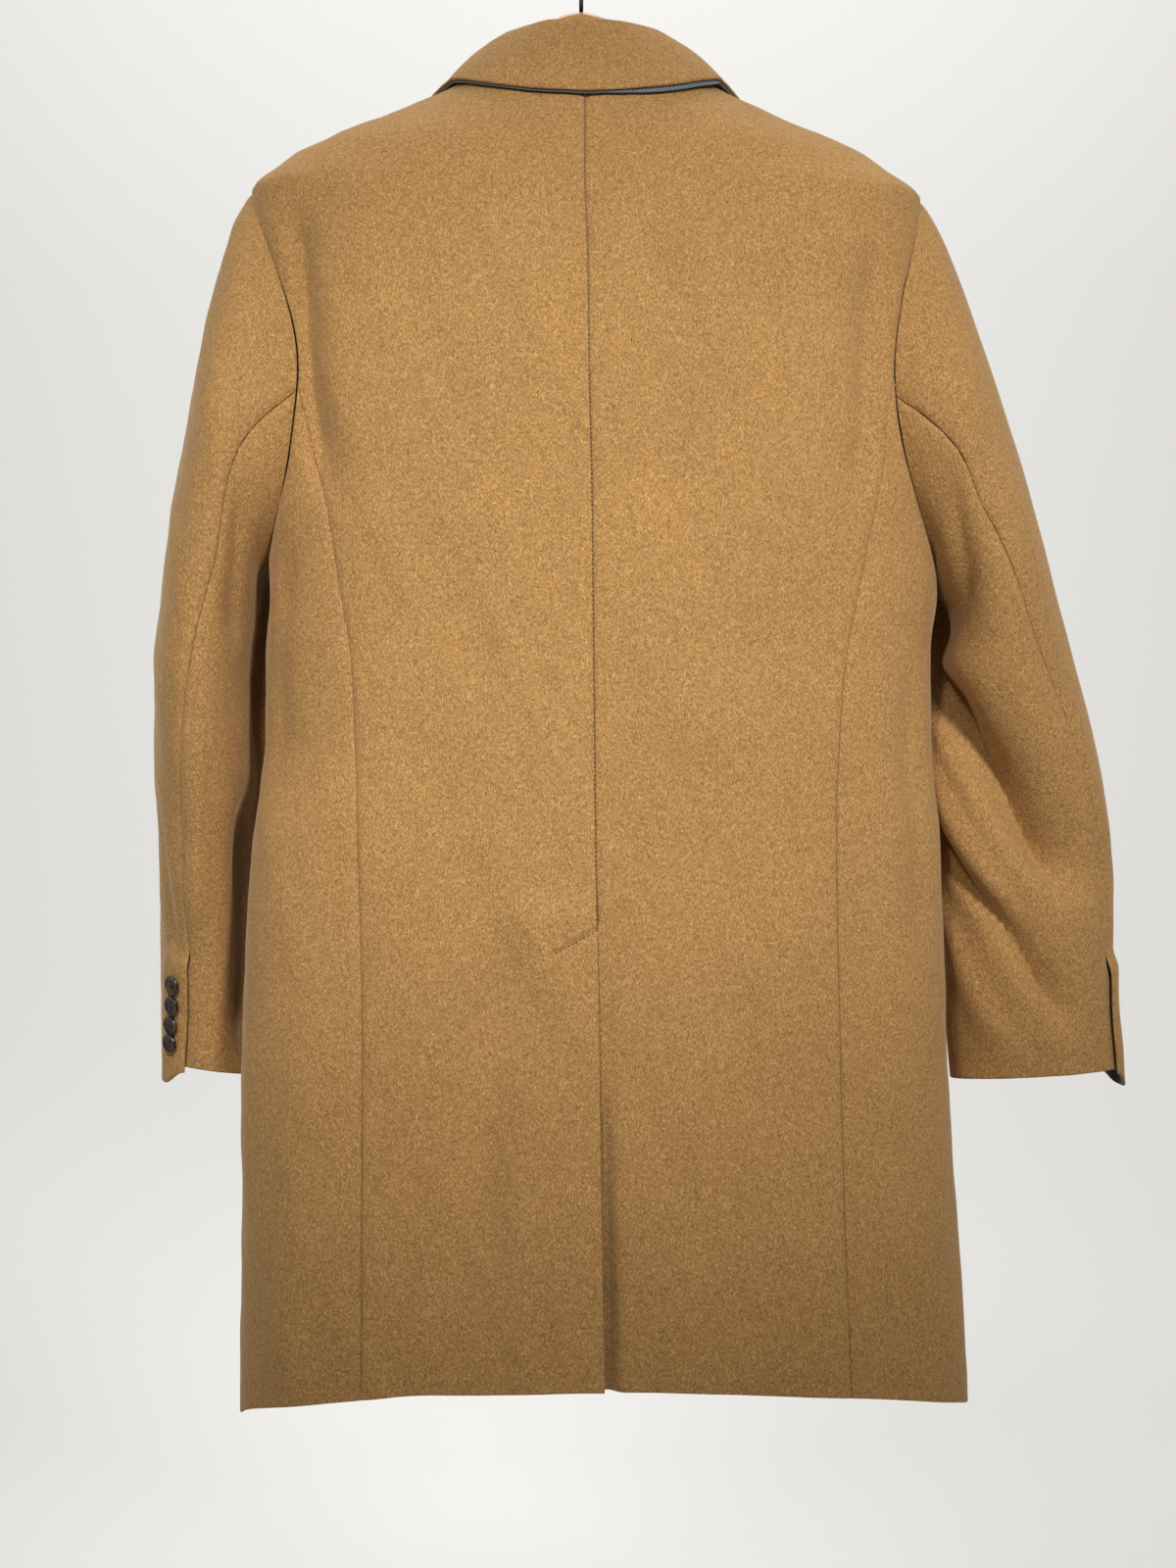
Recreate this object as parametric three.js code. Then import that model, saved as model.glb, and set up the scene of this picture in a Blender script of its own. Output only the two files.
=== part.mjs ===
// A wool overcoat on a wooden hanger, in millimetres.
// +Z is up, +X is the wearer's left, and the front faces -Y.
// The origin is the point inside the hook that rests on a rail.
import * as THREE from "three";

const wall = 2.5; // thickness of the wool
const feltWall = 1.2; // thickness of the undercollar
const seamGap = 0.4; // clear space between two pieces at a seam
const layerGap = 0.5; // clear space between two pieces that lie on each other
const buttonGap = 0.7; // clear space below a button
const lapelGap = 1.4; // clear space below a lapel, which rolls softly on its front

const collarLevel = -120; // neck edge of the body
const shoulderLevel = -204; // where the shoulder seam meets the sleeve
const armholeMiddle = -335; // level of the armhole's widest place
const armholeRise = 131; // half of the armhole's height
const hemLevel = -1060; // level that the rows below the hip are spaced to
const hipLevel = -700; // rows above this one are level
const ventTop = -722;
const ventLap = 46; // width of the underlap at the back vent
const ventSlant = 18; // how far the underlap's top edge drops over its width
const frontLap = 22; // each front runs this far past the centre
const lapelBreak = -400; // level of the top button, where the lapel starts to turn
const neckSide = 62; // distance of the lapel's roll line from the centre at the neck
const shoulderLean = 0.011; // the right shoulder hangs a little lower
const liftOut = 3.4; // how far an overlapping edge stands out over the piece below
const liftRun = { start: 34, full: 4 }; // how far past an overlap that lift begins and is whole
const seamTurn = { sideBack: 0.08, shoulder: 0.25 }; // degrees from those seams to a panel's edge

// One row for each level of the body: the centre's x, the half-widths to the left and right of it,
// the depths behind and in front of it, and how square the ring is (2 is an ellipse).
const bodyRings = [
  { level: -120, centre: -3, left: 79, right: 79, back: 62, front: 60, square: 2.1 },
  { level: -131, centre: -3, left: 100, right: 100, back: 70, front: 68, square: 2.1 },
  { level: -155, centre: -3, left: 154, right: 153, back: 80, front: 78, square: 2.2 },
  { level: -175, centre: -3, left: 199, right: 198, back: 87, front: 84, square: 2.3 },
  { level: -187, centre: -3, left: 217, right: 216, back: 91, front: 87, square: 2.3 },
  { level: -206, centre: -3, left: 238, right: 239, back: 96, front: 91, square: 2.4 },
  { level: -260, centre: -5, left: 240, right: 242, back: 103, front: 98, square: 2.5 },
  { level: -340, centre: -6, left: 239, right: 241, back: 106, front: 103, square: 2.5 },
  { level: -430, centre: -8, left: 233, right: 241, back: 105, front: 103, square: 2.5 },
  { level: -485, centre: -8.5, left: 230, right: 244, back: 102, front: 100, square: 2.5 },
  { level: -530, centre: -9, left: 233, right: 239, back: 99, front: 97, square: 2.5 },
  { level: -590, centre: -9.6, left: 233, right: 238, back: 98, front: 95, square: 2.5 },
  { level: -664, centre: -10.4, left: 243, right: 244, back: 101, front: 97, square: 2.6 },
  { level: -750, centre: -12, left: 250, right: 246, back: 105, front: 100, square: 2.7 },
  { level: -870, centre: -13.5, left: 254, right: 249, back: 111, front: 104, square: 2.8 },
  { level: -968, centre: -15, left: 256, right: 253, back: 116, front: 107, square: 2.8 },
  { level: -1050, centre: -16.5, left: 258, right: 257, back: 119, front: 110, square: 2.8 },
  { level: -1100, centre: -17, left: 259, right: 258, back: 120, front: 111, square: 2.8 },
];

// Height of the hem round the body. An angle of 0 is the wearer's left side and 90 the centre back.
const hemHeights = [
  { angle: -90, level: -1078 },
  { angle: -40, level: -1080 },
  { angle: 0, level: -1076 },
  { angle: 30, level: -1062 },
  { angle: 60, level: -1047 },
  { angle: 90, level: -1041 },
  { angle: 120, level: -1045 },
  { angle: 150, level: -1058 },
  { angle: 180, level: -1069 },
  { angle: 220, level: -1077 },
  { angle: 270, level: -1078 },
];

// The largest soft folds of the body: where each starts and ends, its half-width and its depth.
// A negative depth is a trough.
const bodyFolds = [
  { angle: 40, top: -225, endAngle: 46, bottom: -430, half: 6, depth: -3 },
  { angle: 140, top: -230, endAngle: 135, bottom: -450, half: 6, depth: -3 },
  { angle: 101, top: -215, endAngle: 102, bottom: -470, half: 6, depth: -2.2 },
  { angle: 78, top: -740, endAngle: 60, bottom: -1060, half: 10, depth: -6 },
  { angle: 118, top: -700, endAngle: 124, bottom: -1080, half: 9, depth: 4 },
  { angle: 44, top: -760, endAngle: 40, bottom: -1090, half: 8, depth: 4 },
  { angle: -52, top: -560, endAngle: -48, bottom: -1100, half: 9, depth: -5 },
  { angle: 232, top: -560, endAngle: 229, bottom: -1100, half: 9, depth: -5 },
  { angle: -28, top: -620, endAngle: -24, bottom: -1100, half: 8, depth: 4 },
  { angle: 208, top: -620, endAngle: 204, bottom: -1100, half: 8, depth: 4 },
];

// Distance of each side-back seam from the centre, on the back's surface.
const sideBackSeam = [
  { level: -335, left: 206, right: 209 },
  { level: -397, left: 194, right: 204 },
  { level: -430, left: 186, right: 198 },
  { level: -480, left: 178, right: 187 },
  { level: -549, left: 168, right: 174 },
  { level: -663, left: 165, right: 167 },
  { level: -800, left: 164, right: 166 },
  { level: -1080, left: 168, right: 170 },
];

const armholes = {
  left: { back: 36, front: 38 },
  right: { back: 33.5, front: 37 },
};

// One row for each ring of a sleeve, from the armhole to the cuff: the outer and inner ends of the
// ring as seen from behind, its half-depth, how far it hangs forward, and the two seams' angles.
// An angle of 0 is the outer edge, 90 the back and -90 the front.
const leftSleeveRings = [
  { outX: 237, outZ: -205, inX: 225, inZ: -466, depth: 84, forward: 2, hind: 97, fore: -80 },
  { outX: 248, outZ: -226, inX: 231, inZ: -470, depth: 83, forward: 2, hind: 98, fore: -80 },
  { outX: 257, outZ: -256, inX: 234, inZ: -477, depth: 81, forward: 4, hind: 100, fore: -80 },
  { outX: 271, outZ: -316, inX: 235, inZ: -490, depth: 79, forward: 6, hind: 103, fore: -80 },
  { outX: 284, outZ: -386, inX: 237, inZ: -508, depth: 76, forward: 8, hind: 104, fore: -80 },
  { outX: 293, outZ: -440, inX: 240, inZ: -530, depth: 74, forward: 10, hind: 98, fore: -80 },
  { outX: 300, outZ: -490, inX: 242, inZ: -556, depth: 73, forward: 14, hind: 90, fore: -80 },
  { outX: 306, outZ: -541, inX: 241, inZ: -590, depth: 74, forward: 20, hind: 82, fore: -80 },
  { outX: 307, outZ: -595, inX: 240, inZ: -625, depth: 74, forward: 30, hind: 75, fore: -80 },
  { outX: 307, outZ: -680, inX: 240, inZ: -690, depth: 70, forward: 48, hind: 73, fore: -80 },
  { outX: 307, outZ: -760, inX: 238, inZ: -765, depth: 62, forward: 63, hind: 76, fore: -80 },
  { outX: 307, outZ: -826, inX: 236, inZ: -838, depth: 54, forward: 70, hind: 70, fore: -80 },
];

const rightSleeveRings = [
  { outX: -241, outZ: -208, inX: -243, inZ: -466, depth: 84, forward: 2, hind: 97, fore: -80 },
  { outX: -254, outZ: -230, inX: -250, inZ: -469, depth: 83, forward: 2, hind: 97, fore: -80 },
  { outX: -268, outZ: -262, inX: -254, inZ: -474, depth: 80, forward: 4, hind: 97, fore: -82 },
  { outX: -284, outZ: -306, inX: -258, inZ: -481, depth: 76, forward: 6, hind: 96, fore: -84 },
  { outX: -300, outZ: -352, inX: -262, inZ: -490, depth: 73, forward: 8, hind: 95, fore: -86 },
  { outX: -315, outZ: -398, inX: -268, inZ: -500, depth: 70, forward: 9, hind: 90, fore: -90 },
  { outX: -328, outZ: -442, inX: -270, inZ: -514, depth: 68, forward: 11, hind: 82, fore: -96 },
  { outX: -341, outZ: -488, inX: -264, inZ: -534, depth: 65, forward: 14, hind: 72, fore: -105 },
  { outX: -351, outZ: -524, inX: -256, inZ: -560, depth: 63, forward: 18, hind: 62, fore: -115 },
  { outX: -361, outZ: -562, inX: -255, inZ: -590, depth: 61, forward: 24, hind: 52, fore: -124 },
  { outX: -372, outZ: -606, inX: -257, inZ: -628, depth: 58, forward: 29, hind: 42, fore: -134 },
  { outX: -382, outZ: -662, inX: -261, inZ: -678, depth: 54, forward: 32, hind: 33, fore: -142 },
  { outX: -385.5, outZ: -710, inX: -264, inZ: -722, depth: 49, forward: 34, hind: 28, fore: -146 },
  { outX: -385.5, outZ: -775, inX: -267, inZ: -784, depth: 42, forward: 35, hind: 26, fore: -148 },
  { outX: -391, outZ: -832, inX: -272, inZ: -839, depth: 35, forward: 36, hind: 26, fore: -148 },
];

// Folds of the sleeves: the ring and angle where each starts and ends, its half-width in degrees
// and its depth.
const leftSleeveFolds = [
  { ring: 6.4, angle: 118, endRing: 8.6, endAngle: 100, half: 16, depth: -4 },
  { ring: 7.6, angle: 60, endRing: 10.6, endAngle: 52, half: 16, depth: 2.5 },
  { ring: 5.2, angle: -120, endRing: 8.2, endAngle: -95, half: 18, depth: -4 },
];
const rightSleeveFolds = [
  { ring: 7.2, angle: 168, endRing: 11.2, endAngle: 62, half: 17, depth: -7 },
  { ring: 8.4, angle: 176, endRing: 12, endAngle: 84, half: 14, depth: 5 },
  { ring: 10.4, angle: 168, endRing: 13.4, endAngle: 70, half: 15, depth: -6 },
  { ring: 6.5, angle: -150, endRing: 10.5, endAngle: -95, half: 18, depth: -5 },
];

const sleeves = {
  left: { rings: leftSleeveRings, folds: leftSleeveFolds },
  right: { rings: rightSleeveRings, folds: rightSleeveFolds },
};
const pieceGap = 0.42; // degrees between a seam and each piece of a sleeve
const sleeveBlend = 3; // rings over which a sleeve turns from the armhole's outline into a tube
const sleeveStart = { top: 1.9, bottom: 4.2 }; // how far a sleeve starts out from the armhole's edge
const sleeveShrink = { top: 1.2, bottom: 4 }; // how much smaller a sleeve starts than the armhole
const cuffVentHeight = 66; // how far the cuff's vent runs up from the hem
const cuffLap = 9; // degrees that the under sleeve runs below the upper one at the vent
const cuffLift = 4.6; // how far the vent's upper edge stands out over the under sleeve
const cuffTip = 14; // how far the upper sleeve's corner hangs below its hem
const cuffLiftTop = 82; // height above the hem at which that edge begins to stand out
const cuffLapTop = 58; // height at which the under sleeve's lap is whole
const cuffLiftRun = { start: 46, full: 28 }; // degrees before the edge between which it rises
const cuffTipRun = 70; // degrees before the edge at which the hem begins to drop

// Half of the collar's part round the neck, from the centre back to the front: the height of the
// stand's top, the half-sizes of that edge, and the body level where the fall ends.
const neckSections = [
  { angle: 90, top: -92, wide: 57, deep: 49, edge: -138 },
  { angle: 60, top: -93, wide: 57, deep: 50, edge: -135 },
  { angle: 30, top: -95, wide: 57, deep: 52, edge: -131 },
  { angle: 0, top: -99, wide: 58, deep: 54, edge: -130 },
  { angle: -20, top: -108, wide: 60, deep: 58, edge: -140 },
  { angle: -36, top: -119, wide: 62, deep: 63, edge: -148 },
];
// The collar's part on the chest: where it leaves the roll line and how wide it lies on the front.
const chestSections = [
  { roll: -138, out: 62 },
  { roll: -156, out: 62 },
  { roll: -174, out: 62 },
  { roll: -187, out: 58 },
];
const collarFoldRadius = 3.2;
const collarStandOff = 6.4; // the fall's inner face lies this far out from the body's inner face
const collarMiddle = -3; // the x of the neck's middle
const collarFold = { start: 0.36, end: 0.52 }; // shares of the collar between which it folds over
const collarBelly = 3; // how far the fall swells out
const collarFront = { rise: 3, draw: 0.07 }; // how the neck seam moves where the stand meets the lapels
const collarHalf = 14; // columns from the collar's middle to one end
const collarPlaces = Array.from({ length: 2 * collarHalf + 1 }, (_, i) => i / collarHalf - 1);

// The lapel's outer edge, as a distance out from the roll line.
const lapelEdge = [
  { roll: -193, out: 46 },
  { roll: -198, out: 90 },
  { roll: -206, out: 92 },
  { roll: -240, out: 84 },
  { roll: -290, out: 66 },
  { roll: -350, out: 36 },
  { roll: -400, out: 3 },
];
const chestSlant = 0.3; // how far a line out from the roll line drops for each millimetre

// The hanger from its middle to its end: the top's height, its own height and its half-depth.
const hangerSections = [
  { x: 0, top: -70, height: 50, half: 9 },
  { x: 12, top: -72.4, height: 49, half: 9 },
  { x: 22, top: -78, height: 46, half: 9 },
  { x: 40, top: -95, height: 40, half: 10 },
  { x: 60, top: -114, height: 34, half: 11 },
  { x: 78, top: -125, height: 31, half: 12 },
  { x: 110, top: -138.2, height: 29, half: 14 },
  { x: 150, top: -155.8, height: 28, half: 17 },
  { x: 185, top: -171.4, height: 26, half: 19 },
  { x: 205, top: -181.8, height: 23, half: 19 },
  { x: 216, top: -190, height: 14, half: 15 },
];
const hangerSquare = 2.6; // how square the hanger's section is
const hookWire = 3; // diameter of the hook's wire
const hookRadius = 22; // radius of the hook's bend, to the middle of the wire

const buttonSizes = {
  cuff: { diameter: 14, thickness: 3 },
  front: { diameter: 25, thickness: 4 },
};
// Where the cuff buttons sit: their heights above the hem and the angle before the vent's edge.
// The lowest one drops with the cuff's corner. The right cuff hangs turned, with its buttons ahead.
const cuffButtons = {
  left: { heights: [59, 44.8, 30.6, 20.4], before: 15 },
  right: { heights: [59, 44.8, 30.6, 16.8], before: 50 },
};
const frontButtonLevels = [-412, -522, -632];

// Rows of the body panels, from the neck to the armhole, down the armhole, and on to the hem.
const shoulderRows = [-120, -131, -143, -155, -165, -175, -187, -197, shoulderLevel];
const armholeRows = [-206, -212, -224, -244, -272, -302, armholeMiddle];
const skirtRows = [-372, -412, -455, -500, -545, -590, -640, hipLevel, ventTop, -760, -810, -865];
const hemRows = [-920, -975, -1022, hemLevel];
const bodyRows = [...shoulderRows, ...armholeRows, ...skirtRows, ...hemRows];

const halvings = 40; // steps in the search for an angle
const radians = Math.PI / 180;
const mix = (from, to, share) => from + (to - from) * share;
const steps = (count) => Array.from({ length: count + 1 }, (_, i) => i / count);

function ramp(from, to, value) {
  const share = THREE.MathUtils.clamp((value - from) / (to - from), 0, 1);
  return share * share * (3 - 2 * share);
}

// A table's column at any place along its first column, as a smooth curve that never overshoots.
function readTable(rows, axis, column, place) {
  const last = rows.length - 1;
  const turn = rows[last][axis] > rows[0][axis] ? 1 : -1;
  const at = (i) => rows[i][axis] * turn;
  const value = (i) => rows[i][column];
  const wanted = THREE.MathUtils.clamp(place * turn, at(0), at(last));
  let i = 0;
  while (i < last - 1 && wanted > at(i + 1)) i += 1;
  const slope = (k) => (value(k + 1) - value(k)) / (at(k + 1) - at(k));
  const tangent = (k) => {
    if (k === 0) return slope(0);
    if (k === last) return slope(last - 1);
    const product = slope(k - 1) * slope(k);
    return product <= 0 ? 0 : (2 * product) / (slope(k - 1) + slope(k));
  };
  const width = at(i + 1) - at(i);
  const share = (wanted - at(i)) / width;
  const square = share * share;
  const cube = square * share;
  return (
    (2 * cube - 3 * square + 1) * value(i) +
    (cube - 2 * square + share) * width * tangent(i) +
    (3 * square - 2 * cube) * value(i + 1) +
    (cube - square) * width * tangent(i + 1)
  );
}

// How much a soft fold moves the cloth at one place, from its two ends, half-width and depth.
function foldAt(fold, along, across) {
  const share = (along - fold.from) / (fold.to - fold.from);
  if (share <= 0 || share >= 1) return 0;
  const middle = mix(fold.start, fold.end, share);
  const distance = (across - middle) / fold.half;
  if (Math.abs(distance) >= 2) return 0;
  const fade = ramp(0, 0.25, share) * (1 - ramp(0.8, 1, share) * fold.fades);
  return fold.depth * fade * Math.exp(-1.6 * distance * distance) * (1 - ramp(1.4, 2, Math.abs(distance)));
}

const ring = (level, column) => readTable(bodyRings, "level", column, level);

// A point of the body's inner face, from the angle round it and the level.
function bodyInner(angle, level) {
  const c = Math.cos(angle * radians);
  const s = Math.sin(angle * radians);
  const square = ring(level, "square");
  const out = (Math.abs(c) ** square + Math.abs(s) ** square) ** (-1 / square);
  const wide = c > 0 ? ring(level, "left") : ring(level, "right");
  const deep = s > 0 ? ring(level, "back") : ring(level, "front");
  const away = new THREE.Vector2(c / wide, s / deep).normalize();
  let fold = 0;
  for (const row of bodyFolds) {
    const fades = row.bottom > -1000 ? 1 : 0;
    const shape = { from: row.top, to: row.bottom, start: row.angle, end: row.endAngle };
    const turned = angle > 180 && row.angle < 0 ? angle - 360 : angle;
    fold += foldAt({ ...shape, half: row.half, depth: row.depth, fades }, level, turned);
  }
  const x = ring(level, "centre") + wide * c * out + away.x * fold;
  const y = deep * s * out + away.y * fold;
  const neckDip = 10 * s * s * (1 - ramp(collarLevel, -190, level));
  const lean = shoulderLean * x * (1 - ramp(-300, -600, level));
  return new THREE.Vector3(x, y, level + lean - neckDip);
}

// A point moved out from a surface, along the surface's normal.
function movedOut(surface, u, v, distance, side = 1) {
  const step = 0.02;
  const point = surface(u, v);
  const alongU = surface(u + step, v).sub(surface(u - step, v));
  const alongV = surface(u, v + step).sub(surface(u, v - step));
  const normal = alongV.cross(alongU).normalize();
  return point.addScaledVector(normal, distance * side);
}

const bodyPoint = (angle, level, distance) => movedOut(bodyInner, angle, level, distance, -1);

// The angle at which the body's ring is this far from its centre, on the back or on the front.
function angleAt(distance, level, front = false) {
  let near = front ? -180 : 0;
  let far = front ? 0 : 180;
  const centre = ring(level, "centre");
  for (let i = 0; i < halvings; i += 1) {
    const angle = (near + far) / 2;
    const tooFarLeft = bodyInner(angle, level).x - centre > distance;
    if (tooFarLeft === front) far = angle;
    else near = angle;
  }
  return (near + far) / 2;
}

const sideSign = (side) => (side === "left" ? 1 : -1);
// The left side's angles, turned to the right side where that is asked for.
const sideAngle = (side, angle) => (side === "left" ? angle : 180 - angle);
const hemAt = (angle) => readTable(hemHeights, "angle", "level", angle < -90 ? angle + 360 : angle);

// A row's level at one angle: below the hip the rows spread out to meet the hem.
function rowLevel(row, angle) {
  if (row >= hipLevel) return row;
  const share = (row - hipLevel) / (hemLevel - hipLevel);
  return mix(hipLevel, hemAt(angle), share);
}

// A closed wall over one or more grids of parameter pairs that share their common points.
// place gives the point of a pair at a share of the wall: 0 on the inner face, 1 on the outer.
function clothWall(grids, place) {
  const pairs = [];
  const found = new Map();
  const indexOf = ([u, v]) => {
    const key = `${u.toFixed(3)} ${v.toFixed(3)}`;
    if (!found.has(key)) found.set(key, pairs.push([u, v]) - 1);
    return found.get(key);
  };
  const faces = [];
  for (const grid of grids) {
    for (let j = 0; j < grid.length - 1; j += 1) {
      for (let i = 0; i < grid[j].length - 1; i += 1) {
        const corners = [grid[j][i], grid[j][i + 1], grid[j + 1][i + 1], grid[j + 1][i]].map(indexOf);
        faces.push([corners[0], corners[1], corners[2]], [corners[0], corners[2], corners[3]]);
      }
    }
  }
  const real = faces.filter(([a, b, c]) => a !== b && b !== c && a !== c);
  const edges = new Set();
  for (const [a, b, c] of real) {
    for (const [from, to] of [[a, b], [b, c], [c, a]]) edges.add(`${from} ${to}`);
  }
  const count = pairs.length;
  const triangles = [];
  for (const [a, b, c] of real) {
    triangles.push([a, b, c], [a + count, c + count, b + count]);
    for (const [from, to] of [[a, b], [b, c], [c, a]]) {
      if (edges.has(`${to} ${from}`)) continue;
      triangles.push([from, from + count, to], [to, from + count, to + count]);
    }
  }
  const points = [1, 0].flatMap((share) => pairs.map(([u, v]) => place(u, v, share)));
  return solidFrom(points, triangles);
}

// A geometry from points and triangles, with its faces turned outwards.
function solidFrom(points, triangles) {
  let volume = 0;
  for (const [a, b, c] of triangles) {
    volume += points[a].dot(new THREE.Vector3().crossVectors(points[b], points[c]));
  }
  const index = volume > 0 ? triangles.flat() : triangles.flatMap(([a, b, c]) => [a, c, b]);
  const geometry = new THREE.BufferGeometry().setFromPoints(points);
  geometry.setIndex(index);
  geometry.computeVertexNormals();
  return geometry;
}

// The left side's pair of angle and level, turned to the side that is built.
function turnGrid(side, grid) {
  return grid.map((row) => row.map(([angle, level]) => [sideAngle(side, angle), level]));
}

// The armhole's edge on the left side's angles: 0 is its top, 90 its back and 180 its bottom.
function armholeEdge(side, turn, shrink = 0) {
  const s = Math.sin(turn * radians);
  const reach = (s > 0 ? armholes[side].back : armholes[side].front) - shrink / 2.4;
  return [reach * s, armholeMiddle + (armholeRise - shrink) * Math.cos(turn * radians)];
}

// The side's own angle, as on the left side, of a place on its back or front.
function ownAngle(side, distance, level, front = false) {
  const angle = angleAt(distance * sideSign(side), level, front);
  if (side === "left") return angle;
  return front ? -180 - angle : 180 - angle;
}

function sideBackAngle(side, level) {
  return ownAngle(side, readTable(sideBackSeam, "level", side, level), level);
}

// Where a back or front panel starts at a row: the shoulder seam, the armhole or the side seam.
function outerAngle(side, row, front) {
  const sign = front ? -1 : 1;
  if (row >= shoulderLevel) return sign * seamTurn.shoulder;
  if (row > armholeMiddle) {
    const turn = Math.acos((row - armholeMiddle) / armholeRise) / radians;
    return armholeEdge(side, sign * turn)[0];
  }
  return front ? -armholes[side].front : sideBackAngle(side, row) + seamTurn.sideBack;
}

// One half of the back, from the shoulder, armhole and side-back seam to the centre back.
function backPanel(side) {
  const columns = steps(8);
  const grid = bodyRows.map((row) => {
    const centre = ownAngle(side, seamGap / 2, row);
    const outer = outerAngle(side, row, false);
    return columns.map((share) => {
      const angle = mix(outer, centre, share);
      return [angle, rowLevel(row, sideAngle(side, angle))];
    });
  });
  const grids = [turnGrid(side, grid)];
  if (side === "right") grids.push(ventUnderlap(grids[0]));
  const place = (angle, level, share) => {
    const lift = side === "left" ? backLift(angle, level) : 0;
    return bodyPoint(angle, level, lift + share * wall);
  };
  return clothWall(grids, place);
}

// The left back stands out over the vent's underlap.
function backLift(angle, level) {
  const reach = angleAt(ventLap + liftRun.full, level);
  const start = angleAt(ventLap + liftRun.start, level);
  return liftOut * ramp(start, reach, angle) * ramp(-694, ventTop, level);
}

// The part of the right back that runs on below the left one at the vent.
function ventUnderlap(backGrid) {
  const edge = backGrid.slice(bodyRows.indexOf(ventTop)).map((row) => row[row.length - 1]);
  const [, top] = edge[0];
  const [, bottom] = edge[edge.length - 1];
  return edge.map(([angle, level]) => {
    const share = (level - top) / (bottom - top);
    return steps(3).map((across) => {
      if (across === 0) return [angle, level];
      const start = top - ventSlant * across;
      const turned = angleAt(ventLap * across, level);
      return [turned, mix(start, hemAt(turned), share)];
    });
  });
}

// The roll line of the lapel above the break, and the front edge below it.
function frontEdgeDistance(row) {
  if (row <= lapelBreak) return -frontLap;
  const share = (row - lapelBreak) / (collarLevel - lapelBreak);
  return mix(-frontLap, neckSide, share ** 0.92);
}

// One front, with the part that runs round the side to the side-back seam.
function frontPanel(side) {
  const columns = steps(7);
  const front = bodyRows.map((row) => {
    const inner = ownAngle(side, frontEdgeDistance(row), row, true);
    const outer = outerAngle(side, row, true);
    return columns.map((share) => {
      const angle = mix(outer, inner, share);
      return [angle, rowLevel(row, sideAngle(side, angle))];
    });
  });
  const place = (angle, level, share) => {
    const lift = side === "left" ? frontLift(angle, level) : 0;
    return bodyPoint(angle, level, lift + share * wall);
  };
  return clothWall([turnGrid(side, front), turnGrid(side, sideZone(side))], place);
}

// The left front stands out over the right one.
function frontLift(angle, level) {
  const reach = angleAt(frontLap + liftRun.full, level, true);
  const start = angleAt(frontLap + liftRun.start, level, true);
  const own = angle > 180 ? angle - 360 : angle;
  return liftOut * ramp(start, reach, own) * ramp(-280, -332, level);
}

// The side of the body below the armhole, from the side-back seam to the front's own rows.
function sideZone(side) {
  const rows = bodyRows.slice(bodyRows.indexOf(armholeMiddle));
  const columns = steps(8);
  return rows.map((row) =>
    columns.map((across) => {
      const turn = mix(90, 270, across);
      const [topAngle, topLevel] = armholeEdge(side, turn);
      const last = across === 1;
      const seam = sideBackAngle(side, row) - seamTurn.sideBack;
      const even = mix(seam, -armholes[side].front, across);
      const settle = ramp(armholeMiddle, -560, row);
      const curved = mix(seam, -armholes[side].front, (1 - Math.cos(Math.PI * across)) / 2);
      const angle = last ? -armholes[side].front : mix(curved, even, settle);
      const plain = rowLevel(row, sideAngle(side, angle));
      const hem = hemAt(sideAngle(side, angle));
      const share = (plain - armholeMiddle) / (hem - armholeMiddle);
      const first = row === armholeMiddle;
      const firstAngle = across === 0 ? seam : topAngle;
      return first ? [firstAngle, topLevel] : [angle, last ? plain : mix(topLevel, hem, share)];
    }),
  );
}

const sleeveColumn = (side, column, place) => {
  const rows = sleeves[side].rings.map((row, i) => ({ place: i, value: row[column] }));
  return readTable(rows, "place", "value", place);
};

// A point of a sleeve's inner face, from the angle round it and the place along its rings.
function sleeveInner(side, angle, place) {
  const c = Math.cos(angle * radians);
  const s = Math.sin(angle * radians);
  const at = (column, where = place) => sleeveColumn(side, column, where);
  const plain = (where) => {
    const middleX = (at("outX", where) + at("inX", where)) / 2;
    const middleZ = (at("outZ", where) + at("inZ", where)) / 2;
    const halfX = (at("outX", where) - at("inX", where)) / 2;
    const halfZ = (at("outZ", where) - at("inZ", where)) / 2;
    const y = at("depth", where) * s - at("forward", where);
    return new THREE.Vector3(middleX + halfX * c, y, middleZ + halfZ * c);
  };
  const point = plain(place);
  const joined = 1 - ramp(0, sleeveBlend, Math.max(place, 0));
  if (joined > 0) {
    const low = (1 - c) / 2;
    const [edgeAngle, edgeLevel] = armholeEdge(side, angle, mix(sleeveShrink.top, sleeveShrink.bottom, low));
    const edge = bodyInner(sideAngle(side, edgeAngle), edgeLevel);
    edge.x += sideSign(side) * mix(sleeveStart.top, sleeveStart.bottom, low);
    point.addScaledVector(edge.sub(plain(0)), joined);
  }
  for (const row of sleeves[side].folds) {
    const shape = { from: row.ring, to: row.endRing, start: row.angle, end: row.endAngle };
    const turned = angle < -90 && row.angle > 90 ? angle + 360 : angle;
    const size = foldAt({ ...shape, half: row.half, depth: row.depth, fades: 1 }, place, turned);
    point.x += size * c * sideSign(side);
    point.y += size * s;
  }
  return point;
}

function sleevePoint(side, angle, place, distance) {
  const surface = (a, p) => sleeveInner(side, a, p);
  return movedOut(surface, angle, place, distance, sideSign(side));
}

const cuffRing = (side) => sleeves[side].rings.length - 1;

// The place along a sleeve's rings that lies this far above its hem.
function aboveCuff(side, height) {
  const [upper, lower] = sleeves[side].rings.slice(-2);
  return cuffRing(side) - height / (upper.outZ - lower.outZ);
}

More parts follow.
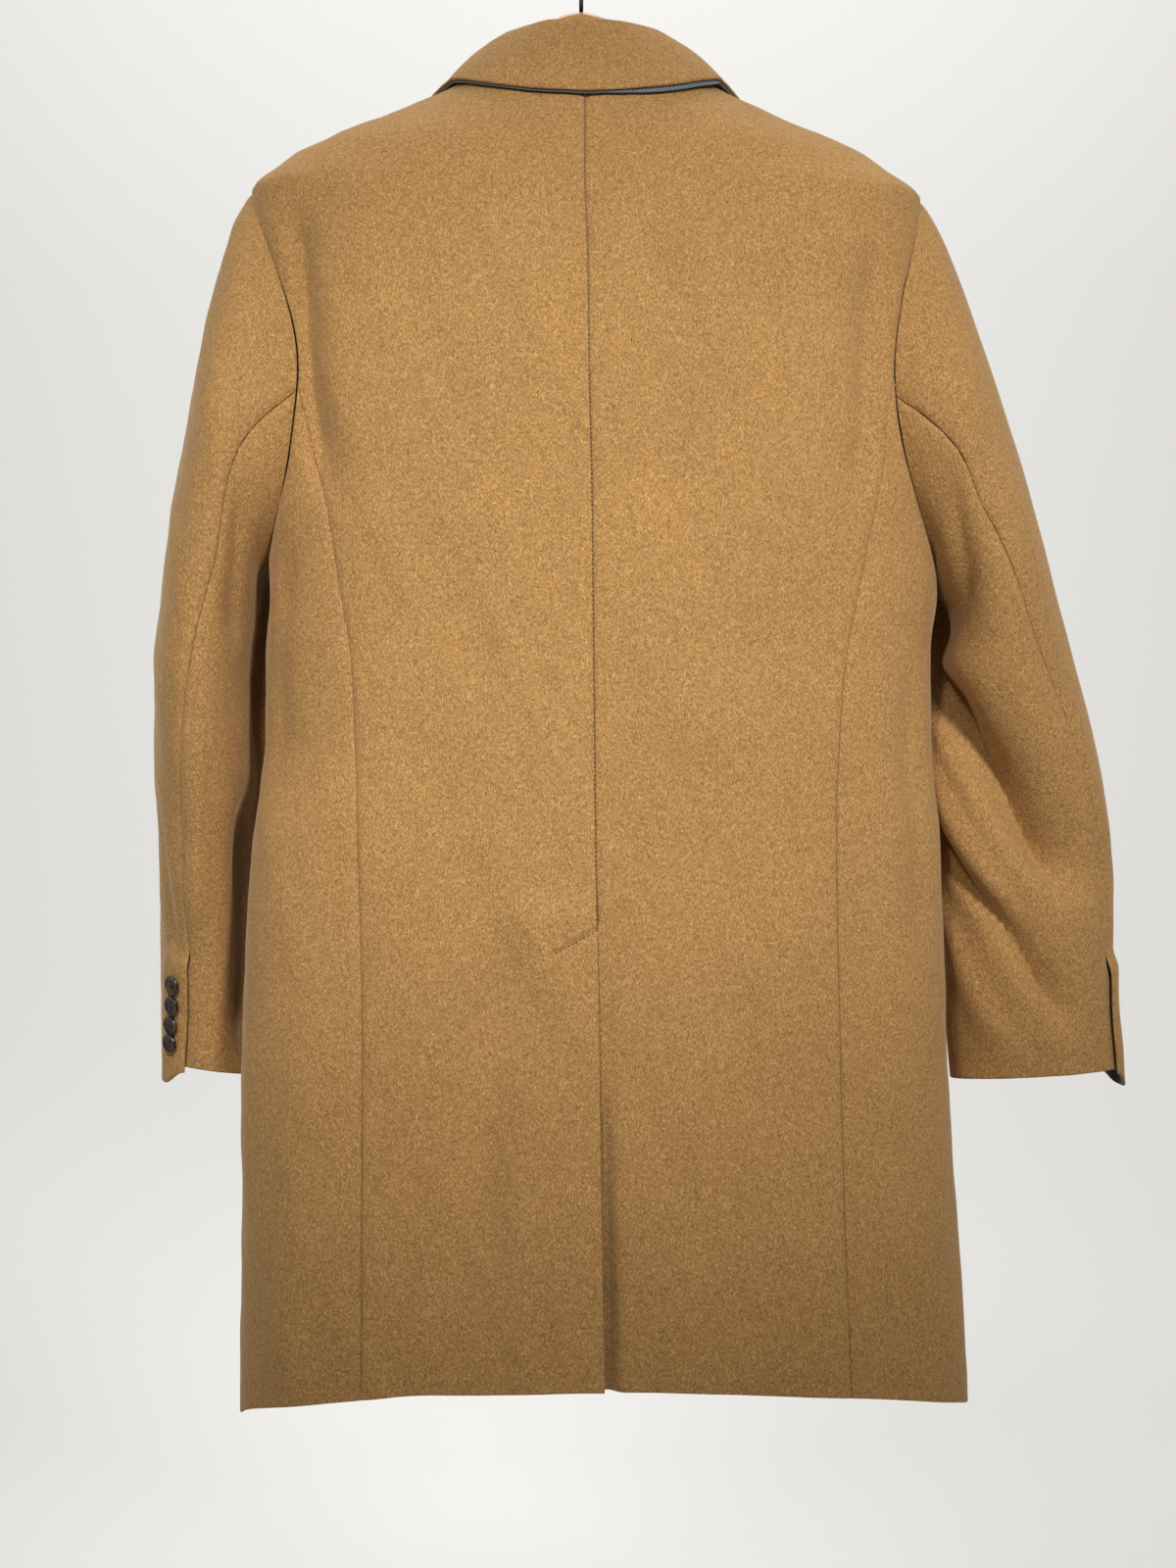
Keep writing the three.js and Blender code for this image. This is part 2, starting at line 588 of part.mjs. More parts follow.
function sleeveRows(side) {
  const head = [0, 0.35, 0.8, 1.4];
  const tube = steps(13).map((share) => mix(2, aboveCuff(side, cuffLiftTop), share));
  const cuff = [cuffVentHeight, cuffLapTop, 44, 30, 15, 0].map((height) => aboveCuff(side, height));
  return [...head, ...tube, ...cuff];
}

// One piece of a sleeve between two edges, in ten even columns.
function sleevePiece(side, fromEdge, toEdge, place) {
  const grid = sleeveRows(side).map((row) =>
    steps(10).map((share) => [mix(fromEdge(row), toEdge(row), share), row]),
  );
  return clothWall([grid], place);
}

// At a cuff's vent the upper sleeve lifts first, and below that the under sleeve runs in under it.
const ventLift = (side, row) => ramp(aboveCuff(side, cuffLiftTop), aboveCuff(side, cuffVentHeight), row);
const ventLow = (side, row) => ramp(aboveCuff(side, cuffVentHeight), aboveCuff(side, cuffLapTop), row);

const hindEdge = (side, row) => sleeveColumn(side, "hind", row) - pieceGap;

// The upper sleeve's inner face, which stands out at the vent and comes to a point at its corner.
function upperFace(side, angle, row) {
  const before = hindEdge(side, row) - angle;
  const raised = ramp(cuffLiftRun.start, cuffLiftRun.full, before) * ventLift(side, row);
  const point = sleevePoint(side, angle, row, cuffLift * raised);
  point.z -= cuffTip * ramp(cuffRing(side) - 0.5, cuffRing(side), row) * ramp(cuffTipRun, 0, before);
  return point;
}

function upperPoint(side, angle, row, distance) {
  return movedOut((a, p) => upperFace(side, a, p), angle, row, distance, sideSign(side));
}

function upperSleeve(side) {
  const fore = (row) => sleeveColumn(side, "fore", row) + pieceGap;
  const place = (angle, row, share) => upperPoint(side, angle, row, share * wall);
  return sleevePiece(side, fore, (row) => hindEdge(side, row), place);
}

function underSleeve(side) {
  const hind = (row) => sleeveColumn(side, "hind", row) + pieceGap - cuffLap * ventLow(side, row);
  const fore = (row) => 360 + sleeveColumn(side, "fore", row) - pieceGap;
  const place = (angle, row, share) => sleevePoint(side, angle, row, share * wall);
  return sleevePiece(side, hind, fore, place);
}

// A place on a front, from the level where it leaves the roll line and the distance out from it.
function chestPlace(side, roll, out) {
  const level = roll - chestSlant * out;
  return [ownAngle(side, frontEdgeDistance(roll) + out, level, true), level];
}

// The collar's section at a place from 0 at the centre back to 1 at its front end, on the left:
// where it is sewn on, the top of its stand, its outer edge, and the ways out and up of its fold.
function collarSection(place) {
  const neck = neckSections.length - 1;
  const whole = neck + chestSections.length;
  const i = Math.min(Math.floor(place * whole), whole - 1);
  const share = place * whole - i;
  const [from, to] = [collarStation(i), collarStation(i + 1)];
  const section = {};
  for (const key of Object.keys(from)) section[key] = from[key].clone().lerp(to[key], share);
  return section;
}

function collarStation(i) {
  if (i < neckSections.length) {
    const { angle, top, wide, deep, edge } = neckSections[i];
    const c = Math.cos(angle * radians);
    const s = Math.sin(angle * radians);
    const base = bodyInner(angle, collarLevel);
    const forward = ramp(0, -36, angle);
    base.z += layerGap + collarFront.rise * forward;
    base.lerp(new THREE.Vector3(collarMiddle, 0, base.z), collarFront.draw * forward);
    return {
      base,
      top: new THREE.Vector3(collarMiddle + wide * c, deep * s, top),
      edge: bodyPoint(angle, edge, collarStandOff),
      away: new THREE.Vector3(c, s, 0),
      rise: new THREE.Vector3(0, 0, 1),
    };
  }
  const { roll, out } = chestSections[i - neckSections.length];
  const near = (distance) => bodyPoint(...chestPlace("left", roll, distance), collarStandOff);
  const top = near(-2);
  const edge = near(out);
  const away = near(8).sub(top).normalize();
  const rise = bodyPoint(...chestPlace("left", roll, 0), 10).sub(bodyInner(...chestPlace("left", roll, 0)));
  return { base: near(-2.4), top, edge, away, rise: rise.normalize() };
}

// The face between the collar's stand and its fall: 0 is the neck seam, 1 the fall's outer edge.
function collarFace(place, along) {
  const { base, top, edge, away, rise } = collarSection(Math.abs(place));
  const radius = collarFoldRadius;
  const point = new THREE.Vector3();
  const { start, end } = collarFold;
  if (along < start) {
    point.copy(base).lerp(top, along / start);
  } else if (along < end) {
    const turn = (Math.PI * (along - start)) / (end - start);
    point.copy(top).addScaledVector(away, radius * (1 - Math.cos(turn)));
    point.addScaledVector(rise, radius * Math.sin(turn));
  } else {
    const share = (along - end) / (1 - end);
    const belly = collarBelly * Math.sin(Math.PI * share);
    point.copy(top).addScaledVector(away, 2 * radius).lerp(edge, share).addScaledVector(rise, belly);
  }
  if (place < 0) point.x = 2 * collarMiddle - point.x;
  return point;
}

const collarPoint = (place, along, distance) => movedOut(collarFace, place, along, distance, -1);

function collar() {
  const place = (around, along, share) => collarPoint(around, along, share * wall);
  const alongs = [0, 0.18, 0.35, 0.38, 0.42, 0.46, 0.5, 0.53, 0.68, 0.84, 1];
  return clothWall([alongs.map((along) => collarPlaces.map((around) => [around, along]))], place);
}

// The felt on the inside of the collar's fall.
function undercollar() {
  const place = (around, along, share) => collarPoint(around, along, (share - 1) * feltWall - 0.3);
  const alongs = [0.68, 0.84, 1];
  return clothWall([alongs.map((along) => collarPlaces.map((around) => [around, along]))], place);
}

// A lapel lies on its front, from the roll line out to its edge. The right one ends where the
// left front covers it.
function lapel(side) {
  const left = side === "left";
  const rolls = [-193, -198, -206, -222, -244, -270, -300, -330, left ? -364 : -346, left ? -390 : -360];
  const grid = rolls.map((roll) => {
    const covered = left ? 2 : 4 - 2 * frontEdgeDistance(roll);
    const start = Math.max(2, covered);
    const end = Math.max(readTable(lapelEdge, "roll", "out", roll), start + 2);
    return steps(5).map((share) => chestPlace(side, roll, mix(start, end, share)));
  });
  const lift = left ? frontLift : () => 0;
  const place = (angle, level, share) =>
    bodyPoint(angle, level, lift(angle, level) + wall + lapelGap + share * wall);
  return clothWall([turnGrid(side, grid)], place);
}

// A round button with a raised rim, its underside at z = 0 and its axis along +Z.
function buttonShape({ diameter, thickness }) {
  const radius = diameter / 2;
  const profile = [
    [0, 0],
    [radius * 0.8, 0],
    [radius, thickness * 0.4],
    [radius * 0.93, thickness],
    [radius * 0.74, thickness * 0.78],
    [0, thickness * 0.7],
  ];
  const shape = new THREE.LatheGeometry(profile.map(([x, y]) => new THREE.Vector2(x, y)), 14);
  shape.rotateX(Math.PI / 2);
  return shape;
}

// Sets a button on a surface, at a point with the surface's outward direction.
function seatButton(mesh, point, outward) {
  mesh.quaternion.setFromUnitVectors(new THREE.Vector3(0, 0, 1), outward);
  mesh.position.copy(point).addScaledVector(outward, buttonGap);
}

// The wooden hanger: rounded sections from one end to the other.
function hangerShape() {
  const half = hangerSections;
  const left = half.map((row) => row.x);
  const places = [...left.slice(1).reverse().map((x) => -x), ...left];
  const round = 12;
  const points = [];
  const triangles = [];
  for (const x of places) {
    const read = (column) => readTable(half, "x", column, Math.abs(x));
    const height = read("height");
    const middle = read("top") - height / 2 + shoulderLean * x;
    for (let i = 0; i < round; i += 1) {
      const turn = (2 * Math.PI * i) / round;
      const c = Math.cos(turn);
      const s = Math.sin(turn);
      const out = (Math.abs(c) ** hangerSquare + Math.abs(s) ** hangerSquare) ** (-1 / hangerSquare);
      points.push(new THREE.Vector3(x, read("half") * c * out, middle + (height / 2) * s * out));
    }
  }
  for (let k = 0; k < places.length - 1; k += 1) {
    for (let i = 0; i < round; i += 1) {
      const next = (i + 1) % round;
      const [a, b] = [k * round + i, k * round + next];
      triangles.push([a, b, b + round], [a, b + round, a + round]);
    }
  }
  const lastStart = (places.length - 1) * round;
  for (let i = 1; i < round - 1; i += 1) {
    triangles.push([0, i + 1, i], [lastStart, lastStart + i, lastStart + i + 1]);
  }
  return solidFrom(points, triangles);
}

// The hook: a straight stem that bends round over the rail.
function hookShape() {
  const centre = hookWire / 2 - hookRadius;
  const stem = [-69.6, -62, -54].map((z) => new THREE.Vector3(0, 0, z));
  const bend = [-52, -20, 12, 44, 76, 108, 140, 172, 200].map((turn) => {
    const x = hookRadius * Math.cos(turn * radians);
    return new THREE.Vector3(x, 0, centre + hookRadius * Math.sin(turn * radians));
  });
  const path = new THREE.CatmullRomCurve3([...stem, ...bend]);
  const section = new THREE.Shape().absarc(0, 0, hookWire / 2, 0, 2 * Math.PI);
  const options = { steps: 30, curveSegments: 8, bevelEnabled: false, extrudePath: path };
  return new THREE.ExtrudeGeometry(section, options);
}

const wool = () => new THREE.MeshStandardMaterial({ color: 0xa87f4e, roughness: 0.95, metalness: 0 });
const felt = () => new THREE.MeshStandardMaterial({ color: 0x6f7a80, roughness: 0.95, metalness: 0 });
const horn = () => new THREE.MeshStandardMaterial({ color: 0x2a1b14, roughness: 0.3, metalness: 0 });
const wood = () => new THREE.MeshStandardMaterial({ color: 0xc08a45, roughness: 0.4, metalness: 0 });
const wire = () => new THREE.MeshStandardMaterial({ color: 0x1c1c1e, roughness: 0.35, metalness: 0.9 });

const coat = new THREE.Group();

function addPiece(name, geometry, material) {
  const mesh = new THREE.Mesh(geometry, material);
  mesh.name = name;
  coat.add(mesh);
  return mesh;
}

for (const side of ["left", "right"]) {
  addPiece(`back_${side}`, backPanel(side), wool());
  addPiece(`front_${side}`, frontPanel(side), wool());
  addPiece(`lapel_${side}`, lapel(side), wool());
  addPiece(`upper_sleeve_${side}`, upperSleeve(side), wool());
  addPiece(`under_sleeve_${side}`, underSleeve(side), wool());
  cuffButtons[side].heights.forEach((height, i) => {
    const place = aboveCuff(side, height);
    const angle = hindEdge(side, place) - cuffButtons[side].before;
    const point = upperPoint(side, angle, place, wall);
    const outward = upperPoint(side, angle, place, wall + 10).sub(point).normalize();
    const button = addPiece(`cuff_button_${side}_${i + 1}`, buttonShape(buttonSizes.cuff), horn());
    seatButton(button, point, outward);
  });
}
addPiece("collar", collar(), wool());
addPiece("undercollar", undercollar(), felt());

frontButtonLevels.forEach((level, i) => {
  const angle = angleAt(0, level, true);
  const lifted = wall + liftOut;
  const point = bodyPoint(angle, level, lifted);
  const outward = bodyPoint(angle, level, lifted + 10).sub(point).normalize();
  const button = addPiece(`front_button_${i + 1}`, buttonShape(buttonSizes.front), horn());
  seatButton(button, point, outward);
});

addPiece("hanger", hangerShape(), wood());
addPiece("hook", hookShape(), wire());

export default coat;
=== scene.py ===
import bpy
import math
import numpy as np
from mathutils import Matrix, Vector
from mathutils.kdtree import KDTree


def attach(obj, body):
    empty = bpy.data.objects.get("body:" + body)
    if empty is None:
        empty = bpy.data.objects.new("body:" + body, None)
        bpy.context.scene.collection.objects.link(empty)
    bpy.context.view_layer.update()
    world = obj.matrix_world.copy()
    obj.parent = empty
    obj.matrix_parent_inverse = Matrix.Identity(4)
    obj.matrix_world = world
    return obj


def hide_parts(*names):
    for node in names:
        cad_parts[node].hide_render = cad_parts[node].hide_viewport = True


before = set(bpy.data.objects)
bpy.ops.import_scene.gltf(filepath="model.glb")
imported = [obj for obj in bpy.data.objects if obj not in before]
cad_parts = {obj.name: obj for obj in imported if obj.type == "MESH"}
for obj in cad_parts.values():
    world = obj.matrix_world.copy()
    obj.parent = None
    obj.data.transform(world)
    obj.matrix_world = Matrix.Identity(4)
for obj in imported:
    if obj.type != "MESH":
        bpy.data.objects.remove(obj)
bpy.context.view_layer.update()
print("frame loaded")

# The view is level, from behind the coat. Lengths in this script are in millimetres until a mesh is made.
mm = 0.001
viewFrom = {"x": -0.0049, "y": 2.4, "z": -0.625, "lens": 76.6}


def makeCamera():
    data = bpy.data.cameras.new("camera")
    data.lens = viewFrom["lens"]
    data.sensor_width = 36
    camera = bpy.data.objects.new("camera", data)
    camera.location = (viewFrom["x"], viewFrom["y"], viewFrom["z"])
    camera.rotation_euler = (math.radians(90), 0, math.radians(180))
    bpy.context.scene.collection.objects.link(camera)
    bpy.context.scene.camera = camera


makeCamera()

cloth = {
    "wall": 2.5,  # thickness of the wool
    "felt": 1.2,  # thickness of the undercollar
    "seamGap": 0.04,
    "lapelGap": 1.4,
    "lift": 3.4,  # how far an overlapping edge stands out
    "liftStart": 34,  # where that begins, past the lap
    "liftEnd": 4,
    "roundness": 0.85,  # of the cut edges
    "spacing": 4.6,  # distance between the mesh's rows and columns
}
levels = {
    "collar": -120,
    "shoulder": -204,
    "armhole": -335,
    "rise": 131,
    "hip": -700,
    "hem": -1060,
    "vent": -722,
    "ventLift": -694,
    "break": -400,
    "frontLift": -280,
    "frontLifted": -332,
    "neckDip": -190,
    "leanTop": -300,
    "leanEnd": -600,
}
laps = {
    "vent": 46,
    "ventSlant": 18,
    "ventDip": 15,  # how far the right back turns in beside the vent
    "dipStart": -14.0,
    "dipEnd": -3.0,
    "front": 22,
    "neckSide": 62,
    "neckDip": 10,  # how far the neck is lower at back and front than at the sides
    "edgeBend": 0.92,
    "lean": 0.011,  # the shoulders aren't quite level
}
# The slanted row of stitches at the vent's top.
ventLine = {"across": 34, "drop": 18, "above": 4, "depth": 2.0, "width": 1.9}


# A table from its columns' names and its rows.
def table(columns, *rows):
    return [dict(zip(columns, row)) for row in rows]


# One row for each level of the body, as a ring round the coat.
bodyRings = table(
    ("level", "centre", "left", "right", "back", "front", "square"),
    (-120, -3, 79, 79, 62, 60, 2.1),
    (-131, -3, 100, 100, 70, 68, 2.1),
    (-155, -3, 154, 153, 80, 78, 2.2),
    (-175, -3, 199, 198, 87, 84, 2.3),
    (-187, -3, 217, 216, 91, 87, 2.3),
    (-206, -3, 238, 239, 96, 91, 2.4),
    (-260, -5, 240, 242, 103, 98, 2.5),
    (-340, -6, 239, 241, 106, 103, 2.5),
    (-430, -8, 233, 241, 105, 103, 2.5),
    (-485, -8.5, 230, 244, 102, 100, 2.5),
    (-530, -9, 233, 239, 99, 97, 2.5),
    (-590, -9.6, 233, 238, 98, 95, 2.5),
    (-664, -10.4, 243, 244, 101, 97, 2.6),
    (-750, -12, 250, 246, 105, 100, 2.7),
    (-870, -13.5, 254, 249, 111, 104, 2.8),
    (-968, -15, 256, 253, 116, 107, 2.8),
    (-1050, -16.5, 258, 257, 119, 110, 2.8),
    (-1100, -17, 259, 258, 120, 111, 2.8),
)
hemHeights = table(
    ("angle", "level"),
    (-90, -1078),
    (-40, -1080),
    (0, -1076),
    (30, -1062),
    (60, -1047),
    (90, -1041),
    (120, -1045),
    (150, -1058),
    (180, -1069),
    (220, -1077),
    (270, -1078),
)
# The folds of the body: where each starts and ends, its half-widths towards lower and higher
# angles in degrees, and its depth. A negative depth is a trough.
bodyFolds = table(
    ("angle", "top", "endAngle", "bottom", "low", "high", "depth"),
    (36.5, -200, 41, -440, 4, 6, -11),
    (48, -230, 50, -420, 6, 8, 2.5),
    (141, -220, 136, -450, 5, 4, -7),
    (101, -215, 102, -470, 4, 7, -3),
    (78, -700, 60, -1080, 8, 9, -12),
    (118, -700, 124, -1080, 9, 9, 5),
    (44, -760, 40, -1090, 8, 8, 5),
    (28, -420, 24, -640, 9, 6, -3),
    (152, -520, 149, -760, 6, 8, -4),
    (66, -420, 70, -760, 10, 9, -2.2),
    (112, -560, 108, -900, 9, 8, -2.4),
    (-52, -560, -48, -1100, 9, 9, -6),
    (232, -560, 229, -1100, 9, 9, -6),
    (-28, -620, -24, -1100, 8, 8, 5),
    (208, -620, 204, -1100, 8, 8, 5),
    (-72, -640, -66, -1000, 6, 7, -3),
    (-44, -240, -48, -470, 5, 5, -4),
    (223, -240, 227, -470, 5, 5, -4),
)
sideBackSeam = table(
    ("level", "left", "right"),
    (-335, 206, 209),
    (-397, 194, 204),
    (-430, 186, 198),
    (-480, 178, 187),
    (-549, 168, 174),
    (-663, 165, 167),
    (-800, 164, 166),
    (-1080, 168, 170),
)
armholes = {"left": {"back": 36, "front": 38}, "right": {"back": 33.5, "front": 37}}


def mix(start, end, share):
    return start + (end - start) * share


def ramp(start, end, value):
    share = np.clip((value - start) / (end - start), 0, 1)
    return share * share * (3 - 2 * share)


tableCurves = {}


# A table's column at any place along its first column, as a smooth curve that never overshoots.
def readTable(rows, axis, column, place):
    key = (id(rows), axis, column)
    if key not in tableCurves:
        across = np.array([row[axis] for row in rows], float)
        value = np.array([row[column] for row in rows], float)
        if across[0] > across[-1]:
            across, value = across[::-1], value[::-1]
        slope = np.diff(value) / np.diff(across)
        tangent = np.empty(len(value))
        tangent[0], tangent[-1] = slope[0], slope[-1]
        product = slope[:-1] * slope[1:]
        total = np.where(product > 0, slope[:-1] + slope[1:], 1)
        tangent[1:-1] = np.where(product > 0, 2 * product / total, 0)
        tableCurves[key] = (across, value, tangent)
    across, value, tangent = tableCurves[key]
    place = np.clip(place, across[0], across[-1])
    i = np.clip(np.searchsorted(across, place, side="right") - 1, 0, len(across) - 2)
    width = across[i + 1] - across[i]
    s = (place - across[i]) / width
    return (
        (2 * s**3 - 3 * s**2 + 1) * value[i]
        + (s**3 - 2 * s**2 + s) * width * tangent[i]
        + (3 * s**2 - 2 * s**3) * value[i + 1]
        + (s**3 - s**2) * width * tangent[i + 1]
    )


# How far one soft fold moves the cloth: it runs along from its start to its end and fades there.
def foldSize(row, along, across, start, end, fades):
    share = (along - start) / (end - start)
    inside = (share > 0) & (share < 1)
    share = np.clip(share, 0, 1)
    away = across - mix(row["angle"], row["endAngle"], share)
    distance = np.where(away < 0, -away / row["low"], away / row["high"])
    fade = ramp(0, 0.25, share) * (1 - ramp(0.75, 1, share) * fades)
    size = row["depth"] * fade * np.exp(-1.6 * distance**2) * (1 - ramp(1.4, 2, distance))
    return np.where(inside, size, 0)


def ring(level, column):
    return readTable(bodyRings, "level", column, level)


def points(x, y, z):
    return np.stack(np.broadcast_arrays(x, y, z), axis=-1)


# A point of the body's inner face, from the angle round it and the level.
def bodyInner(angle, level):
    angle, level = np.broadcast_arrays(np.asarray(angle, float), np.asarray(level, float))
    c, s = np.cos(np.radians(angle)), np.sin(np.radians(angle))
    square = ring(level, "square")
    out = (np.abs(c) ** square + np.abs(s) ** square) ** (-1 / square)
    wide = np.where(c > 0, ring(level, "left"), ring(level, "right"))
    deep = np.where(s > 0, ring(level, "back"), ring(level, "front"))
    away = points(c / wide, s / deep, 0)
    away /= np.linalg.norm(away, axis=-1, keepdims=True)
    fold = 0
    for row in bodyFolds:
        fades = 1 if row["bottom"] > -1000 else 0
        turned = np.where(angle > 180, angle - 360, angle) if row["angle"] < 0 else angle
        fold = fold + foldSize(row, level, turned, row["top"], row["bottom"], fades)
    x = ring(level, "centre") + wide * c * out + away[..., 0] * fold
    y = deep * s * out + away[..., 1] * fold
    neckDip = laps["neckDip"] * s * s * (1 - ramp(levels["collar"], levels["neckDip"], level))
    lean = laps["lean"] * x * (1 - ramp(levels["leanTop"], levels["leanEnd"], level))
    return points(x, y, level + lean - neckDip)


# Points moved out from a surface along its normals. side says which way out is.
def movedOut(surface, u, v, distance, side):
    step = 0.02
    alongU = surface(u + step, v) - surface(u - step, v)
    alongV = surface(u, v + step) - surface(u, v - step)
    normal = np.cross(alongV, alongU)
    normal /= np.maximum(np.linalg.norm(normal, axis=-1, keepdims=True), 1e-12)
    return surface(u, v) + normal * np.asarray(distance * side)[..., None]


def bodyPoint(angle, level, distance):
    return movedOut(bodyInner, angle, level, distance, -1)


# The angle at which the body's ring is this far from its centre, on the back or on the front.
def angleAt(distance, level, front=False):
    distance, level = np.broadcast_arrays(np.asarray(distance, float), np.asarray(level, float))
    near = np.full(level.shape, -180.0 if front else 0.0)
    far = np.full(level.shape, 0.0 if front else 180.0)
    centre = ring(level, "centre")
    for _ in range(34):
        angle = (near + far) / 2
        high = (bodyInner(angle, level)[..., 0] - centre > distance) == front
        far = np.where(high, angle, far)
        near = np.where(high, near, angle)
    return (near + far) / 2


def sideSign(side):
    return 1 if side == "left" else -1


def sideAngle(side, angle):
    return angle if side == "left" else 180 - angle


def hemAt(angle):
    return readTable(hemHeights, "angle", "level", np.where(angle < -90, angle + 360, angle))


# A row's level at one angle: below the hip the rows spread out to meet the hem.
def rowLevel(row, angle):
    share = np.clip((row - levels["hip"]) / (levels["hem"] - levels["hip"]), 0, None)
    return np.where(row >= levels["hip"], row, mix(levels["hip"], hemAt(angle), share))


def armholeEdge(side, turn, shrink=0):
    s = np.sin(np.radians(turn))
    hole = armholes[side]
    reach = np.where(s > 0, hole["back"], hole["front"]) - shrink / 2.4
    return reach * s, levels["armhole"] + (levels["rise"] - shrink) * np.cos(np.radians(turn))


def ownAngle(side, distance, level, front=False):
    angle = angleAt(np.asarray(distance) * sideSign(side), level, front)
    if side == "left":
        return angle
    return -180 - angle if front else 180 - angle


def sideBackAngle(side, level):
    angle = ownAngle(side, readTable(sideBackSeam, "level", side, level), level)
    return mix(angle, armholes[side]["back"], ramp(-375, levels["armhole"], level))


# Where a panel starts at a row: the shoulder seam, the armhole or the side seam.
def outerAngle(side, row, front):
    sign = -1 if front else 1
    turn = np.degrees(np.arccos(np.clip((row - levels["armhole"]) / levels["rise"], -1, 1)))
    hole = armholeEdge(side, sign * turn)[0]
    below = np.full(row.shape, -float(armholes[side]["front"]))
    if not front:
        below = sideBackAngle(side, row) + 0.01
    angle = np.where(row > levels["armhole"], hole, below)
    return np.where(row >= levels["shoulder"], sign * 0.02, angle)


def frontEdgeDistance(row):
    row = np.asarray(row, float)
    share = np.clip((row - levels["break"]) / (levels["collar"] - levels["break"]), 0, None)
    slanted = mix(-laps["front"], laps["neckSide"], share ** laps["edgeBend"])
    return np.where(row <= levels["break"], -laps["front"], slanted)


lineLevels = np.arange(-1110, -100, 5.0)
angleLines = {}


# The same angle as angleAt gives, read from a line that is worked out once.
def angleOnLine(distance, level, front=False):
    key = (distance, front)
    if key not in angleLines:
        angleLines[key] = angleAt(distance, lineLevels, front)
    return np.interp(level, lineLevels, angleLines[key])


# How far the right back turns in beside the vent, more and more towards the hem.
def ventDip(angle, level):
    grown = ramp(levels["vent"] + 4, levels["hem"], level)
    start, end = angleOnLine(laps["dipStart"], level), angleOnLine(laps["dipEnd"], level)
    return -laps["ventDip"] * grown * ramp(start, end, angle)


# How far the left back stands out where it laps over the right one.
def backLift(angle, level):
    reach = angleOnLine(laps["vent"] + cloth["liftEnd"], level)
    start = angleOnLine(laps["vent"] + cloth["liftStart"], level)
    return cloth["lift"] * ramp(start, reach, angle) * ramp(levels["ventLift"], levels["vent"], level)


# The same for the left front.
def frontLift(angle, level):
    reach = angleOnLine(laps["front"] + cloth["liftEnd"], level, True)
    start = angleOnLine(laps["front"] + cloth["liftStart"], level, True)
    own = np.where(angle > 180, angle - 360, angle)
    return cloth["lift"] * ramp(start, reach, own) * ramp(levels["frontLift"], levels["frontLifted"], level)


# Small uneven rises and hollows of hanging wool, the same on pieces that meet at a seam.
swells = table(
    ("along", "phase", "size"),
    ((7.1, 3.3, 2.2), 0.4, 0.5),
    ((-11.3, 6.1, 4.7), 2.1, 0.38),
    ((17.9, -8.3, -6.9), 4.4, 0.26),
    ((-23.0, 13.7, 12.1), 1.3, 0.2),
    ((36.1, 21.9, -17.3), 5.2, 0.13),
    ((-52.3, 30.1, 29.7), 3.7, 0.1),
)


def swellAt(place):
    total = 0
    for swell in swells:
        a, b, c = swell["along"]
        wave = (a * place[..., 0] + b * place[..., 1] + c * place[..., 2]) * 0.002
        bend = 0.9 * np.sin(wave * 0.61 + swell["phase"] * 1.7)
        total = total + swell["size"] * np.sin(wave * 3 + swell["phase"] + bend)
    return total


edgeSteps = np.array([0, 0.35, 0.8, 1.5, 3, 5.5])


# Places along a line from 0 to 1, close together at both ends so that the edges can be rounded.
def shares(length, spacing=cloth["spacing"]):
    near = edgeSteps
    count = max(2, int(round((length - 2 * near[-1]) / spacing)))
    middle = np.linspace(near[-1], length - near[-1], count + 1)[1:-1]
    return np.concatenate([near, middle, (length - near)[::-1]]) / length


def gridQuads(rows, columns, start=0):
    index = start + np.arange(rows * columns).reshape(rows, columns)
    corners = (index[:-1, :-1], index[:-1, 1:], index[1:, 1:], index[1:, :-1])
    return np.stack([corner.ravel() for corner in corners], axis=1)


# Grids of pairs as one list, in which the pairs that the grids share are taken once.
def joinGrids(*grids):
    pairs = np.concatenate([np.stack([u.ravel(), v.ravel()], axis=1) for u, v in grids])
    quads, start = [], 0
    for u, v in grids:
        quads.append(gridQuads(*u.shape, start))
        start += u.size
    kept, first, place = np.unique(np.round(pairs, 3), axis=0, return_index=True, return_inverse=True)
    quads = place.reshape(-1)[np.concatenate(quads)]
    return pairs[first, 0], pairs[first, 1], quads


def triangles(quads):
    both = np.concatenate([quads[:, [0, 1, 2]], quads[:, [0, 2, 3]]])
    a, b, c = both.T
    return both[(a != b) & (b != c) & (a != c)]


def normalsOf(vertices, faces):
    a, b, c = (vertices[faces[:, k]] for k in range(3))
    across = np.cross(b - a, c - a)
    total = np.zeros_like(vertices)
    for k in range(3):
        np.add.at(total, faces[:, k], across)
    return total / np.maximum(np.linalg.norm(total, axis=1, keepdims=True), 1e-12)


def rimOf(faces):
    edges = np.concatenate([faces[:, [0, 1]], faces[:, [1, 2]], faces[:, [2, 0]]])
    known = {(a, b) for a, b in edges.tolist()}
    return np.array([edge for edge in edges.tolist() if (edge[1], edge[0]) not in known])


# How far each point is from the nearest of these edges.
def edgeDistance(place, edges):
    if len(edges) == 0:
        return np.full(len(place), 1e3)
    steps = np.linspace(0, 1, 5)[:-1]
    starts, ends = place[edges[:, 0]], place[edges[:, 1]]
    line = np.concatenate([starts + (ends - starts) * step for step in steps])
    tree = KDTree(len(line))
    for i, point in enumerate(line):
        tree.insert(Vector(point), i)
    tree.balance()
    return np.array([tree.find(Vector(point))[2] for point in place])


